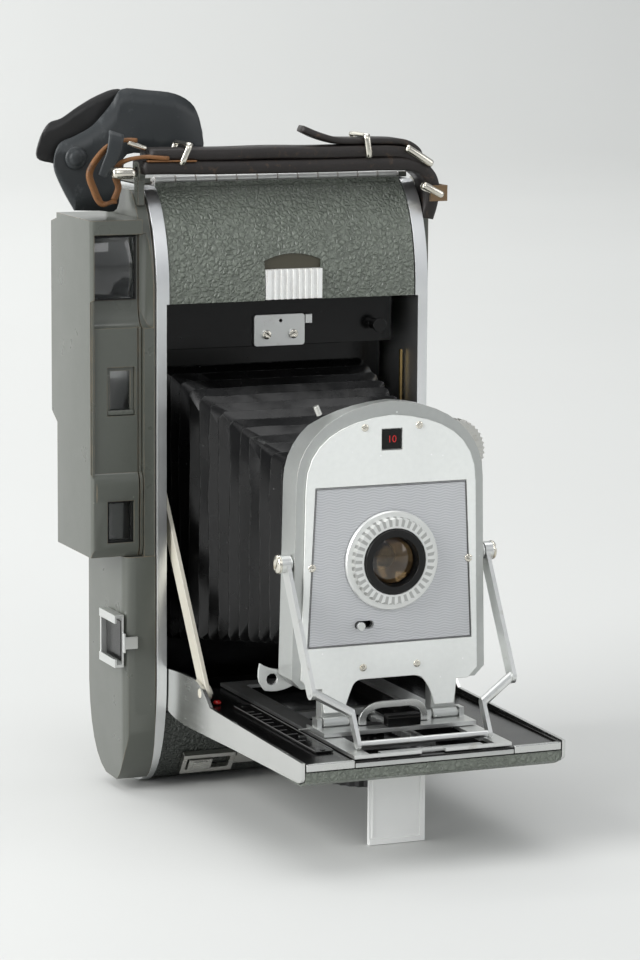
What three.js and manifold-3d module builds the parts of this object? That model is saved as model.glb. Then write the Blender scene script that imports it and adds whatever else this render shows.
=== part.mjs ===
// A folding roll-film instant camera, open and standing on its base.
// Millimetres. X runs to the camera's left as its owner holds it, Y runs from the lens into the body, Z is up.
// The design is written with Y = 0 on the front of the body's trims; the group shifts it so that the
// finished part has its origin in the middle of the flat base.
import * as THREE from "three";
import { mergeVertices } from "three/addons/utils/BufferGeometryUtils.js";
import Module from "manifold-3d";

const wasm = await Module();
wasm.setup();

// ---- driving dimensions ---------------------------------------------------------------------------
const BODY_HALF = 60; // half width over the two metal trims
const BODY_DEPTH = 62;
const BODY_TOP = 252;
const TRIM = 4.3; // side frame thickness beside the bed
const TRIM_COVER = 5.5; // and beside the leather covers
const EDGE_Y = 26; // the front edges are quarter ellipses with these semi-axes
const EDGE_Z = 47;
const OPENING_LOW = 33.2; // the bed's doorway
const OPENING_HIGH = 202.3;
const DOOR_SPLIT = 50.4; // the back door's skirts start here
const DOOR_WALL = 2.2;
const BACK_HINGE = { y: 20.3, z: 251.4, radius: 1.7 };

const BED_HINGE = { y: 11.5, z: 45.5 };
const BED_HALF = 53.6;
const BED_FRONT = -144.65;
const BED_DECK = 43;
const BED_FLOOR = 38;
const KNUCKLE = { y: -100, z: 48, x: 23.3 }; // where the lens standard tilts on its carriage
const STRUT_TOP = { y: -96, z: 111.4 };
const STRUT_ROD = { y: -134, z: 46.7 };
const BRACE_PIVOT = { y: -36.6, z: 49.1 };
const BRACE_LENGTH = 95;
const BRACE_LEAN = (34.5 * Math.PI) / 180;
const FOOT = { y: -109, z: 32.2, left: -12.3, right: 11.3 };
const KNOB = { y: -82, radius: 22, low: 21, high: 33.6 };

const FACE = -100.9; // front of the standard's face plate
const CASE_FRONT = -99.7;
const CASE_BACK = -86;
const LENS_Z = 111.07;
const WHEEL = { x: 30.5, z: 151, radius: 13 };
const GATE = 34; // front of the film gate
const FILM = { halfWidth: 36.5, low: 66, high: 163 };
const GAP = 0.3; // clearance between neighbours

// ---- materials --------------------------------------------------------------------------------------
const paint = (color, roughness, metalness = 0) =>
  new THREE.MeshStandardMaterial({ color, roughness, metalness });
const MATERIAL = {
  trim: paint(0xc9cbc9, 0.3, 1),
  polished: paint(0xd6d6d2, 0.22, 1),
  casting: paint(0x8c918a, 0.45, 0.1),
  cover: paint(0x5f675c, 0.75),
  black: paint(0x151515, 0.35),
  bellows: paint(0x1b1b1b, 0.7),
  silver: paint(0xd9dad5, 0.35, 0.7),
  plate: paint(0xe6e8e4, 0.4, 0.5),
  pattern: paint(0xbfc4c6, 0.4, 0.4),
  glass: paint(0xa87c4a, 0.05),
  leather: paint(0x2a1f1b, 0.7),
  vinyl: paint(0x34393c, 0.6),
  steel: paint(0xb9bab6, 0.35, 1),
  brass: paint(0xb79a55, 0.35, 1),
  rubber: paint(0x202020, 0.8),
  paper: paint(0xe8e4d8, 0.8),
};

// ---- shapes and solids ------------------------------------------------------------------------------
const camera = new THREE.Group();
camera.position.y = -BODY_DEPTH / 2;

function solid(geometry) {
  const bare = geometry.clone();
  bare.deleteAttribute("normal");
  bare.deleteAttribute("uv");
  const merged = mergeVertices(bare, 1e-5);
  return new wasm.Manifold(
    new wasm.Mesh({
      numProp: 3,
      vertProperties: new Float32Array(merged.getAttribute("position").array),
      triVerts: new Uint32Array(merged.getIndex().array),
    }),
  );
}

function piece(name, shape, material, parent = camera) {
  const mesh = shape.getMesh();
  const geometry = new THREE.BufferGeometry();
  geometry.setAttribute("position", new THREE.BufferAttribute(mesh.vertProperties, 3));
  geometry.setIndex(new THREE.BufferAttribute(mesh.triVerts, 1));
  geometry.computeVertexNormals();
  const node = new THREE.Mesh(geometry, material);
  node.name = name;
  parent.add(node);
  return node;
}

const join = (...parts) => parts.reduce((sum, next) => sum.add(next));
const cut = (base, ...tools) => tools.reduce((left, next) => left.subtract(next), base);

function outline(points) {
  return points instanceof THREE.Shape ? points : new THREE.Shape(points.map(([u, v]) => new THREE.Vector2(u, v)));
}

function extruded(points, depth, matrix, steps = 8) {
  const geometry = new THREE.ExtrudeGeometry(outline(points), { depth, bevelEnabled: false, curveSegments: steps });
  return solid(geometry.applyMatrix4(matrix));
}

// Outlines drawn in (y, z), (x, z) or (x, y) and pulled along the third axis between two stations.
const alongX = (points, x0, x1, steps) =>
  extruded(points, x1 - x0, new THREE.Matrix4().set(0, 0, 1, x0, 1, 0, 0, 0, 0, 1, 0, 0, 0, 0, 0, 1), steps);
const alongY = (points, y0, y1, steps) =>
  extruded(points, y1 - y0, new THREE.Matrix4().set(1, 0, 0, 0, 0, 0, -1, y1, 0, 1, 0, 0, 0, 0, 0, 1), steps);
const alongZ = (points, z0, z1, steps) =>
  extruded(points, z1 - z0, new THREE.Matrix4().makeTranslation(0, 0, z0), steps);

function box(x0, x1, y0, y1, z0, z1) {
  const geometry = new THREE.BoxGeometry(x1 - x0, y1 - y0, z1 - z0);
  return solid(geometry.translate((x0 + x1) / 2, (y0 + y1) / 2, (z0 + z1) / 2));
}

// A round bar from point a to point b.
function bar(a, b, radius, sides = 16) {
  const from = new THREE.Vector3(...a);
  const to = new THREE.Vector3(...b);
  const geometry = new THREE.CylinderGeometry(radius, radius, from.distanceTo(to), sides);
  const turn = new THREE.Quaternion().setFromUnitVectors(
    new THREE.Vector3(0, 1, 0),
    to.clone().sub(from).normalize(),
  );
  geometry.applyQuaternion(turn);
  const middle = from.add(to).multiplyScalar(0.5);
  return solid(geometry.translate(middle.x, middle.y, middle.z));
}

// A turned piece about the lens axis; its profile is (radius, y) points.
function turned(profile, x, z, sides = 36) {
  const points = profile.map(([r, y]) => new THREE.Vector2(r, y));
  const first = points[0];
  const last = points[points.length - 1];
  if (first.x > 0 || last.x > 0) points.push(first.clone());
  const volume = solid(new THREE.LatheGeometry(points, sides).translate(x, 0, z));
  return volume.volume() > 0 ? volume : solid(flipped(new THREE.LatheGeometry(points, sides).translate(x, 0, z)));
}

function flipped(geometry) {
  const index = geometry.getIndex();
  for (let i = 0; i < index.count; i += 3) {
    const second = index.getX(i + 1);
    index.setX(i + 1, index.getX(i + 2));
    index.setX(i + 2, second);
  }
  return geometry;
}

const circle = (x, z, radius) => new THREE.Path().absarc(x, z, radius, 0, 2 * Math.PI, true);

function roundedRect(u0, u1, v0, v1, radius) {
  const shape = new THREE.Shape();
  shape.moveTo(u0 + radius, v0);
  shape.lineTo(u1 - radius, v0).absarc(u1 - radius, v0 + radius, radius, -Math.PI / 2, 0);
  shape.lineTo(u1, v1 - radius).absarc(u1 - radius, v1 - radius, radius, 0, Math.PI / 2);
  shape.lineTo(u0 + radius, v1).absarc(u0 + radius, v1 - radius, radius, Math.PI / 2, Math.PI);
  shape.lineTo(u0, v0 + radius).absarc(u0 + radius, v0 + radius, radius, Math.PI, 1.5 * Math.PI);
  return shape;
}

// The body's front edge in (y, z), moved inwards by an offset: from the flat front (0) to the top (90).
function topEdge(offset, fromDeg, toDeg, steps = 9) {
  return Array.from({ length: steps + 1 }, (_, i) => {
    const angle = ((fromDeg + ((toDeg - fromDeg) * i) / steps) * Math.PI) / 180;
    return [
      EDGE_Y - (EDGE_Y - offset) * Math.cos(angle),
      BODY_TOP - EDGE_Z + (EDGE_Z - offset) * Math.sin(angle),
    ];
  });
}
const bottomEdge = (offset, fromDeg, toDeg, steps) =>
  topEdge(offset, fromDeg, toDeg, steps).map(([y, z]) => [y, BODY_TOP - z]);

// A strip of metal with round ends between two (y, z) points.
function strip(from, to, width) {
  const angle = Math.atan2(to.z - from.z, to.y - from.y);
  const shape = new THREE.Shape();
  shape.absarc(to.y, to.z, width / 2, angle - Math.PI / 2, angle + Math.PI / 2);
  shape.absarc(from.y, from.z, width / 2, angle + Math.PI / 2, angle + 1.5 * Math.PI);
  return shape;
}

const sides = [
  ["left", -1],
  ["right", 1],
];
const between = (sign, near, far) => (sign > 0 ? [near, far] : [-far, -near]);

// ---- body: side frames, covers, base ----------------------------------------------------------------
const SEAT = BODY_TOP - DOOR_WALL - 0.5; // top of the side frames under the door's top plate
const HINGE_SEAT = 17.9;

function sideProfile(offset) {
  return [
    [DOOR_SPLIT - 0.4 - offset, offset],
    ...bottomEdge(offset, 90, 0, 12),
    ...topEdge(offset, 0, 71.5, 12).filter(([y, z]) => y < HINGE_SEAT - 0.2 && z < SEAT - offset - 0.2),
    [HINGE_SEAT, SEAT - offset],
    [DOOR_SPLIT - 0.4 - offset, SEAT - offset],
  ];
}

for (const [side, sign] of sides) {
  const [x0, x1] = between(sign, BODY_HALF - TRIM, BODY_HALF);
  const [inner0, inner1] = between(sign, BODY_HALF - TRIM_COVER, BODY_HALF - TRIM + 0.5);
  const frame = alongX(sideProfile(0), x0, x1);
  const band = alongX(sideProfile(0), inner0, inner1);
  const upper = band.intersect(box(-70, 70, -5, 17.6, OPENING_HIGH, 260));
  const pinHole = bar([x0 - 1, BED_HINGE.y, BED_HINGE.z], [x1 + 1, BED_HINGE.y, BED_HINGE.z], 2.4);
  piece(`side_frame_${side}`, cut(join(frame, upper), pinHole), MATERIAL.trim);
}

const COVER_HALF = BODY_HALF - TRIM_COVER - GAP;
const BUTTON = { half: 12.25, low: 202.7, high: 215, travel: 4 };
{
  const shell = alongX(
    [[0.6, OPENING_HIGH], ...topEdge(0.6, 0, 71.2, 10), ...topEdge(2.6, 71.2, 0, 10), [2.6, OPENING_HIGH]],
    -COVER_HALF,
    COVER_HALF,
  );
  const recess = new THREE.Shape();
  recess.moveTo(-BUTTON.half - GAP, 200);
  recess.lineTo(BUTTON.half + GAP, 200);
  recess.lineTo(BUTTON.half + GAP, BUTTON.high + 3.6);
  recess.quadraticCurveTo(0, BUTTON.high + 9, -BUTTON.half - GAP, BUTTON.high + 3.6);
  piece("upper_front_cover", cut(shell, alongY(recess, -3, 6, 6)), MATERIAL.cover);

  // Thumb button with upright ribs, which slides up to let the bed go.
  const ribs = 8;
  const pitch = (2 * BUTTON.half - 3) / ribs;
  const face = [[-BUTTON.half, 2.6], [BUTTON.half, 2.6], [BUTTON.half, -0.6]];
  for (let i = ribs; i > 0; i -= 1) {
    const x = -BUTTON.half + 1.5 + i * pitch;
    face.push([x - 0.2 * pitch, -0.6], [x - 0.3 * pitch, 0.1], [x - 0.7 * pitch, 0.1], [x - 0.8 * pitch, -0.6]);
  }
  face.push([-BUTTON.half, -0.6]);
  const tongue = box(-6, 6, 2.4, 8, BUTTON.low + 1, BUTTON.low + 4);
  piece("cover_latch_button", join(alongZ(face.reverse(), BUTTON.low, BUTTON.high), tongue), MATERIAL.silver);
}

const PANEL_HALF = BODY_HALF - TRIM - GAP;
piece(
  "lower_front_panel",
  alongX(
    [[0.6, OPENING_LOW], ...bottomEdge(0.6, 17.5, 90, 12), ...bottomEdge(2.6, 90, 17.5, 12), [2.6, OPENING_LOW]],
    -PANEL_HALF,
    PANEL_HALF,
  ),
  MATERIAL.cover,
);

const BUSH = { y: 41.5, radius: 7.5, hole: 3.2 };
piece(
  "base_plate",
  cut(box(-PANEL_HALF, PANEL_HALF, EDGE_Y + GAP, DOOR_SPLIT - 0.4, 0, 2.2),
    bar([0, BUSH.y, -1], [0, BUSH.y, 4], BUSH.radius + GAP, 24)),
  MATERIAL.casting,
);
piece(
  "tripod_bush",
  cut(bar([0, BUSH.y, 0], [0, BUSH.y, 3.6], BUSH.radius, 24), bar([0, BUSH.y, -1], [0, BUSH.y, 5], BUSH.hole, 24)),
  MATERIAL.brass,
);

// ---- film gate, header above the bellows, catch, film spool and pressure rollers ---------------------
{
  const gate = cut(
    box(-53.4, 53.4, GATE, GATE + 2, 30, OPENING_HIGH + 0.5),
    box(-FILM.halfWidth, FILM.halfWidth, GATE - 1, GATE + 3, FILM.low, FILM.high),
  );
  const header = box(-51.4, 51.4, 17.5, 19, 181.5, OPENING_HIGH + 0.5);
  const shelf = box(-51.4, 51.4, 17.5, GATE + 1, 196, 198);
  const rails = sides.map(([, sign]) => {
    const [x0, x1] = between(sign, FILM.halfWidth + 3, FILM.halfWidth + 5);
    return box(x0, x1, GATE + 1.5, GATE + 4, 40, 190);
  });
  const pin = join(bar([43, 11, 189], [43, 18, 189], 2.2, 16), bar([43, 10.2, 189], [43, 11.2, 189], 3.1, 16));
  piece("film_gate_frame", join(gate, header, shelf, pin, ...rails), MATERIAL.black);
}
{
  const CATCH = { half: 11.25, low: 181.6, high: 194.6 };
  const shape = roundedRect(-CATCH.half, CATCH.half, CATCH.low, CATCH.high, 1.2);
  shape.holes.push(circle(0.5, 192, 0.8));
  const plate = alongY(shape, 15.9, 17.2, 3);
  const heads = [-6, 6].map((x) => bar([x, 14.9, 186.4], [x, 16.4, 186.4], 1.9, 16));
  piece("bed_catch_plate", join(plate, ...heads), MATERIAL.silver);
}
{
  const spoolAxis = { y: 33, z: 227 };
  const core = bar([-50, spoolAxis.y, spoolAxis.z], [50, spoolAxis.y, spoolAxis.z], 13, 28);
  const flanges = sides.map(([, sign]) => {
    const [x0, x1] = between(sign, 50, 51.6);
    return bar([x0 - 0.1, spoolAxis.y, spoolAxis.z], [x1, spoolAxis.y, spoolAxis.z], 15, 28);
  });
  const axle = bar([-55.2, spoolAxis.y, spoolAxis.z], [55.2, spoolAxis.y, spoolAxis.z], 3, 16);
  piece("film_spool", join(core, axle, ...flanges), MATERIAL.paper);
}
const ROLLER = { y: 42, radius: 5, zLow: 9.4, zHigh: 20 };
for (const [name, z] of [["pressure_roller_lower", ROLLER.zLow], ["pressure_roller_upper", ROLLER.zHigh]]) {
  const drum = bar([-50, ROLLER.y, z], [50, ROLLER.y, z], ROLLER.radius, 20);
  piece(name, join(drum, bar([-55.2, ROLLER.y, z], [55.2, ROLLER.y, z], 2, 12)), MATERIAL.steel);
}

// ---- side castings ----------------------------------------------------------------------------------
const CASTING_INNER = BODY_HALF + GAP;
const POD = { outer: 73.5, top: 99.2, back: 46 };
const STRIP_OUTER = 65;
function podProfile(inset) {
  const shape = new THREE.Shape();
  shape.moveTo(1 + inset, POD.top - inset);
  shape.lineTo(1 + inset, 34);
  shape.quadraticCurveTo(1.6 + inset, 10 + inset, 12 + inset, 4.3 + inset);
  shape.lineTo(25, 4.6 + inset);
  shape.quadraticCurveTo(44 - inset, 10 + inset, POD.back - inset, 40);
  shape.lineTo(POD.back - inset, POD.top - inset);
  return shape;
}
// The viewfinder's recess: a flat back, a hollow wall that runs out to the trim, and a cove below.
const RECESS = { left: -85.9, depth: 8, low: 193, sill: 203.6, high: 231.2 };
function finderRecess() {
  const plan = new THREE.Shape();
  plan.moveTo(RECESS.left, -5);
  plan.lineTo(RECESS.left, RECESS.depth);
  plan.lineTo(-65.6, RECESS.depth);
  plan.quadraticCurveTo(-62, RECESS.depth - 0.6, -60.7, 1.4);
  plan.lineTo(-60.7, -5);
  const cove = new THREE.Shape();
  cove.moveTo(-5, RECESS.low);
  cove.lineTo(3.2, RECESS.low);
  cove.quadraticCurveTo(RECESS.depth - 0.4, RECESS.low + 1, RECESS.depth, RECESS.sill);
  cove.lineTo(RECESS.depth, RECESS.high - 1.6);
  cove.lineTo(RECESS.depth - 1.6, RECESS.high);
  cove.lineTo(-5, RECESS.high);
  return alongZ(plan, RECESS.low - 1, RECESS.high + 1, 6).intersect(alongX(cove, -90, -55, 6));
}

{
  const rounded = new THREE.Shape();
  rounded.moveTo(-CASTING_INNER, 1);
  rounded.lineTo(-CASTING_INNER, 60);
  rounded.lineTo(-POD.outer, 60);
  rounded.lineTo(-POD.outer, 6);
  rounded.quadraticCurveTo(-POD.outer, 1, -POD.outer + 5, 1);
  const pod = cut(
    alongX(podProfile(0), -POD.outer, -CASTING_INNER, 6).intersect(alongZ(rounded, 0, 110, 5)),
    alongX(podProfile(2.6), -POD.outer + 2.6, -CASTING_INNER + 1, 6),
  );
  const upright = alongX(sideProfile(1.6), -STRIP_OUTER, -CASTING_INNER).intersect(
    box(-80, 0, -5, POD.back, POD.top - 3, 260),
  );
  const hollow = alongX(sideProfile(4.4), -STRIP_OUTER + 2.6, -CASTING_INNER + 1).intersect(
    box(-80, 0, -5, POD.back - 2.6, POD.top, 260),
  );
  const behindRecess = box(-80, 0, -5, RECESS.depth + 2.6, RECESS.low - 3, RECESS.high + 4);
  const shellLeft = cut(upright, cut(hollow, behindRecess));
  piece("side_casting_left", cut(join(pod, shellLeft), finderRecess()), MATERIAL.casting);
  const RIGHT_OUTER = 68.8;
  const cap = alongX(sideProfile(3), CASTING_INNER, RIGHT_OUTER).intersect(box(0, 80, 19.4, 48, 6, 246));
  const capHollow = alongX(sideProfile(6), CASTING_INNER - 1, RIGHT_OUTER - 2.4).intersect(box(0, 80, 21.8, 45.6, 9, 243.6));
  piece("side_casting_right", cut(cap, capHollow), MATERIAL.casting);
}

// Finder housing: viewfinder above, rangefinder windows in a recessed channel below.
const FINDER = { outer: 87.4, inner: 65.4, low: 99.5, high: 237, front: 2, channel: 3.6, back: 45, bump: 58 };
const WINDOW = {
  view: { x0: -85.2, x1: -66.4, z0: 204.2, z1: 230.4 },
  range: { x0: -80, x1: -68.2, z0: 157.4, z1: 177.2 },
  focus: { x0: -80.6, x1: -69.2, z0: 105.4, z1: 122.6 },
};
{
  const side = new THREE.Shape();
  side.moveTo(FINDER.front, FINDER.high);
  side.lineTo(FINDER.front, 205);
  side.lineTo(FINDER.channel, 204);
  side.lineTo(FINDER.channel, 134);
  side.quadraticCurveTo(FINDER.front - 0.6, 133, FINDER.front - 0.4, 124);
  side.lineTo(FINDER.front, 122);
  side.lineTo(FINDER.front, 103);
  side.lineTo(FINDER.front + 1.5, FINDER.low);
  side.lineTo(FINDER.back, FINDER.low);
  side.lineTo(FINDER.back, 150);
  side.lineTo(FINDER.bump - 4.6, 155);
  side.lineTo(FINDER.bump, 182);
  side.lineTo(FINDER.bump, 231.6);
  side.lineTo(FINDER.back, 234.8);
  side.lineTo(FINDER.back, FINDER.high);
  const block = alongX(side, -FINDER.outer, -FINDER.inner, 5);
  const plan = new THREE.Shape();
  plan.moveTo(-FINDER.inner, -2);
  plan.lineTo(-FINDER.outer + 2.2, -2);
  plan.lineTo(-FINDER.outer + 2.2, FINDER.front);
  plan.quadraticCurveTo(-FINDER.outer, FINDER.front, -FINDER.outer, FINDER.front + 2.4);
  plan.lineTo(-FINDER.outer, FINDER.bump - 6);
  plan.lineTo(-FINDER.outer + 6, FINDER.bump);
  plan.lineTo(-FINDER.inner, FINDER.bump);
  const shaped = block.intersect(alongZ(plan, 90, 245, 4));
  const channelWall = box(-FINDER.outer + 0.6, -FINDER.outer + 1.5, FINDER.front + 0.6, FINDER.channel + 2, 133, 206);
  const groove = box(-67.1, -66.5, -1, FINDER.channel + 0.9, FINDER.low - 1, RECESS.low + 2);
  const hollow = join(
    box(-84.2, -68.2, 11, FINDER.back - 2.6, 103, 234),
    box(-84.2, -68.2, FINDER.back - 3, FINDER.bump - 6.6, 160, 228),
  );
  const holes = Object.values(WINDOW).map((w) => box(w.x0, w.x1, -1, 13, w.z0, w.z1));
  const eyeholes = [box(-82, -72, 50, 60, 212, 226), box(-82, -72, 50, 60, 166, 176)];
  piece("finder_housing", cut(join(shaped, channelWall), finderRecess(), groove, hollow, ...holes, ...eyeholes), MATERIAL.casting);

  const pane = (w, y0, y1) => box(w.x0 + GAP, w.x1 - GAP, y0, y1, w.z0 + GAP, w.z1 - GAP);
  const dome = solid(new THREE.SphereGeometry(34, 64, 40).translate(-75.8, 40.6, 217.3));
  piece("viewfinder_lens", pane(WINDOW.view, 6, 12.6).intersect(dome), MATERIAL.glass);
  piece("rangefinder_window", pane(WINDOW.range, 6.4, 7.8), MATERIAL.glass);
  piece("focus_window", pane(WINDOW.focus, 4.6, 6), MATERIAL.glass);
  piece(
    "finder_eyepiece",
    cut(box(-83.6, -70.6, FINDER.bump + GAP, FINDER.bump + 3.2, 209, 229), box(-80.5, -73.7, 50, 63, 214, 224)),
    MATERIAL.black,
  );
}

// Accessory shoe on the side of the lower casting: a channel with two lips, open to the front.
const SHOE = { low: 53.6, high: 75.4, front: 1.8, back: 21 };
{
  const x = -POD.outer - GAP;
  const channel = [
    [x, SHOE.low], [x, SHOE.high], [x - 4, SHOE.high], [x - 4, SHOE.high - 3.4], [x - 3, SHOE.high - 3.4],
    [x - 3, SHOE.high - 1.2], [x - 0.8, SHOE.high - 1.2], [x - 0.8, SHOE.low + 1.2], [x - 3, SHOE.low + 1.2],
    [x - 3, SHOE.low + 3.4], [x - 4, SHOE.low + 3.4], [x - 4, SHOE.low],
  ];
  const shoe = alongY(channel, SHOE.front, SHOE.back);
  const stop = box(x - 3.6, x - 0.4, SHOE.back - 1.2, SHOE.back, SHOE.low + 0.6, SHOE.high - 0.6);
  const tab = join(
    box(x - 0.8, x, -0.8, SHOE.front + 1, 60, 68),
    box(x - 0.8, x + 5.2, -0.8, 0.3, 61.5, 66.5),
  );
  piece("accessory_shoe", join(shoe, stop, tab), MATERIAL.silver);
}

// ---- film exit latch on the lower front -------------------------------------------------------------
{
  const angle = Math.acos(1 - 9.97 / EDGE_Y); // where the curve passes z = 10
  const normal = Math.atan2(Math.sin(angle) / EDGE_Z, Math.cos(angle) / EDGE_Y);
  const tilt = (-normal * 180) / Math.PI;
  const onCurve = (shape) => shape.rotate([-tilt, 0, 0]).translate([0, 9.97, 10]);
  const frame = cut(box(-46, -23, -2.2, 0.3, -5.4, 5.4), box(-44, -25, -3, 1, -3.2, 3.2));
  piece("exit_latch_frame", onCurve(frame), MATERIAL.silver);
  piece("exit_latch_button", onCurve(join(box(-43.4, -33, -2.9, -0.4, -2.8, 2.8), box(-41.5, -35, -3.4, -2, -2, 2))), MATERIAL.silver);
  piece("film_cutter_bar", onCurve(join(box(-22, 50, -1.6, 0.3, 2, 4.6), box(-22, 50, -0.5, 0.3, -3.6, 2.4))), MATERIAL.steel);
}

// ---- back door and its long hinge -------------------------------------------------------------------
const DOOR_HALF = BODY_HALF - GAP;
const BACK_RADIUS = 10;
function doorProfile(inset, front) {
  const shape = new THREE.Shape();
  const back = BODY_DEPTH - inset;
  const corner = BODY_DEPTH - BACK_RADIUS;
  shape.moveTo(front, inset);
  shape.lineTo(corner, inset);
  shape.absarc(corner, BACK_RADIUS, back - corner, -Math.PI / 2, 0);
  shape.lineTo(back, BODY_TOP - BACK_RADIUS);
  shape.absarc(corner, BODY_TOP - BACK_RADIUS, back - corner, 0, Math.PI / 2);
  shape.lineTo(front, BODY_TOP - inset);
  return shape;
}
{
  const tray = cut(
    alongX(doorProfile(0, DOOR_SPLIT), -DOOR_HALF, DOOR_HALF, 6),
    alongX(doorProfile(DOOR_WALL, DOOR_SPLIT - 1), -DOOR_HALF + DOOR_WALL, DOOR_HALF - DOOR_WALL, 6),
  );
  const top = box(-DOOR_HALF, DOOR_HALF, 22.4, DOOR_SPLIT + 0.5, BODY_TOP - DOOR_WALL, BODY_TOP);
  const slot = box(34.4, 45.6, BODY_DEPTH - 4, BODY_DEPTH + 2, 34, 44);
  piece("back_door", cut(join(tray, top), slot), MATERIAL.casting);
  const plate = alongY(roundedRect(-45, 45, 55, 175, 3), 44, 45.5, 3);
  const posts = [[-30, 70], [30, 70], [-30, 160], [30, 160]].map(([x, z]) => bar([x, 45, z], [x, 59.5, z], 3, 12));
  piece("pressure_plate", join(plate, ...posts), MATERIAL.black);
  const knob = join(box(36, 42, 60.2, 64.2, 35.6, 42.4), box(37, 41, 57.6, 60.4, 37, 41), box(34.6, 44, 57.4, 59.4, 34.4, 43.6));
  piece("film_release_switch", knob, MATERIAL.black);
}
{
  const HALF = 54;
  const COUNT = 12; // knuckles, taken in turn by the two leaves
  const step = (2 * HALF) / COUNT;
  const { y, z, radius } = BACK_HINGE;
  const knuckle = (i, r) => bar([-HALF + i * step + 0.2, y, z], [-HALF + (i + 1) * step - 0.2, y, z], r, 14);
  const clearance = (i) => bar([-HALF + i * step, y, z], [-HALF + (i + 1) * step, y, z], radius + GAP, 14);
  const pin = bar([-HALF - 1, y, z], [HALF + 1, y, z], 0.8, 12);
  const odd = Array.from({ length: COUNT / 2 }, (_, i) => 2 * i + 1);
  const even = odd.map((i) => i - 1);
  const fixedLeaf = box(-HALF, HALF, 18.6, 19.9, 248, 250.2);
  piece("hinge_body_leaf", join(cut(fixedLeaf, ...odd.map(clearance)), pin, ...even.map((i) => knuckle(i, radius))), MATERIAL.steel);
  const riser = join(box(-HALF, HALF, 21.2, 22.1, 248.7, z + 0.5), box(-HALF, HALF, 21.2, 28, 248.7, 249.5));
  const bored = odd.map((i) => cut(knuckle(i, radius), bar([-HALF, y, z], [HALF, y, z], 1.1, 12)));
  piece("hinge_door_leaf", join(cut(riser, ...even.map(clearance), bar([-HALF, y, z], [HALF, y, z], 1.1, 12)), ...bored), MATERIAL.steel);
}

// ---- handle strap, its hardware and the finder's flap -------------------------------------------------
const STRAP = { front: 3, back: 19 };
{
  for (const [side, sign, x, y, z, seat] of [["left", -1, 63.2, 12, 255.5, 242], ["right", 1, 64.6, 24, 246, 240]]) {
    const eye = cut(bar([sign * (x - 1.4), y, z], [sign * (x + 1.4), y, z], 4.2, 18), bar([sign * (x - 3), y, z], [sign * (x + 3), y, z], 2.2, 14));
    const post = box(...between(sign, x - 1.4, x + 1.4), y - 2.4, y + 2.4, seat, z - 3);
    const blockers = [];
    if (side === "left") blockers.push(alongX(sideProfile(1.2), -STRIP_OUTER - 1, -CASTING_INNER + 1));
    else blockers.push(box(CASTING_INNER - 1, 69.5, 17, 49, 0, 243.4), alongX(sideProfile(2.6), CASTING_INNER - 1, 69.5));
    piece(`strap_lug_${side}`, cut(join(eye, post), ...blockers), MATERIAL.steel);
  }
  const band = new THREE.Shape();
  band.moveTo(-58, 254.2);
  band.lineTo(54, 254.2);
  band.quadraticCurveTo(60.8, 253.4, 61, 249);
  band.lineTo(61, 232.4);
  band.lineTo(63.6, 232);
  band.lineTo(66.6, 245);
  band.quadraticCurveTo(66.5, 258, 56, 262.4);
  band.lineTo(30, 264.6);
  band.lineTo(9, 268.6);
  band.lineTo(8, 265);
  band.lineTo(-46, 262.4);
  band.lineTo(-58, 261);
  piece("handle_strap", alongY(band, STRAP.front, STRAP.back, 5), MATERIAL.leather);
  const BUCKLE = { x0: 61.4, x1: 69, z0: 241, z1: 247.6, bar: 1.3 };
  const bow = box(BUCKLE.x1 - BUCKLE.bar, BUCKLE.x1, 1, 18.9, BUCKLE.z0, BUCKLE.z1);
  const cheek = box(BUCKLE.x0, BUCKLE.x1, 1, 1 + BUCKLE.bar, BUCKLE.z0, BUCKLE.z1);
  piece("strap_buckle", join(bow, cheek), MATERIAL.steel);
}
{
  const flap = new THREE.Shape();
  flap.moveTo(-86.9, 239.2);
  flap.quadraticCurveTo(-92, 248, -95.2, 257.5);
  flap.lineTo(-101.2, 260.5);
  flap.quadraticCurveTo(-99.6, 272, -94, 275);
  flap.quadraticCurveTo(-82, 279, -74, 285);
  flap.quadraticCurveTo(-66, 289.6, -52, 287.8);
  flap.quadraticCurveTo(-31.5, 287, -30.2, 269);
  flap.lineTo(-31, 266.8);
  flap.lineTo(-60, 268.2);
  flap.quadraticCurveTo(-70, 270, -74, 263.5);
  flap.quadraticCurveTo(-81, 259, -80.7, 249);
  flap.lineTo(-82.3, 239.2);
  piece("finder_flap", alongY(flap, 23, 31, 4), MATERIAL.vinyl);
}

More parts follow.
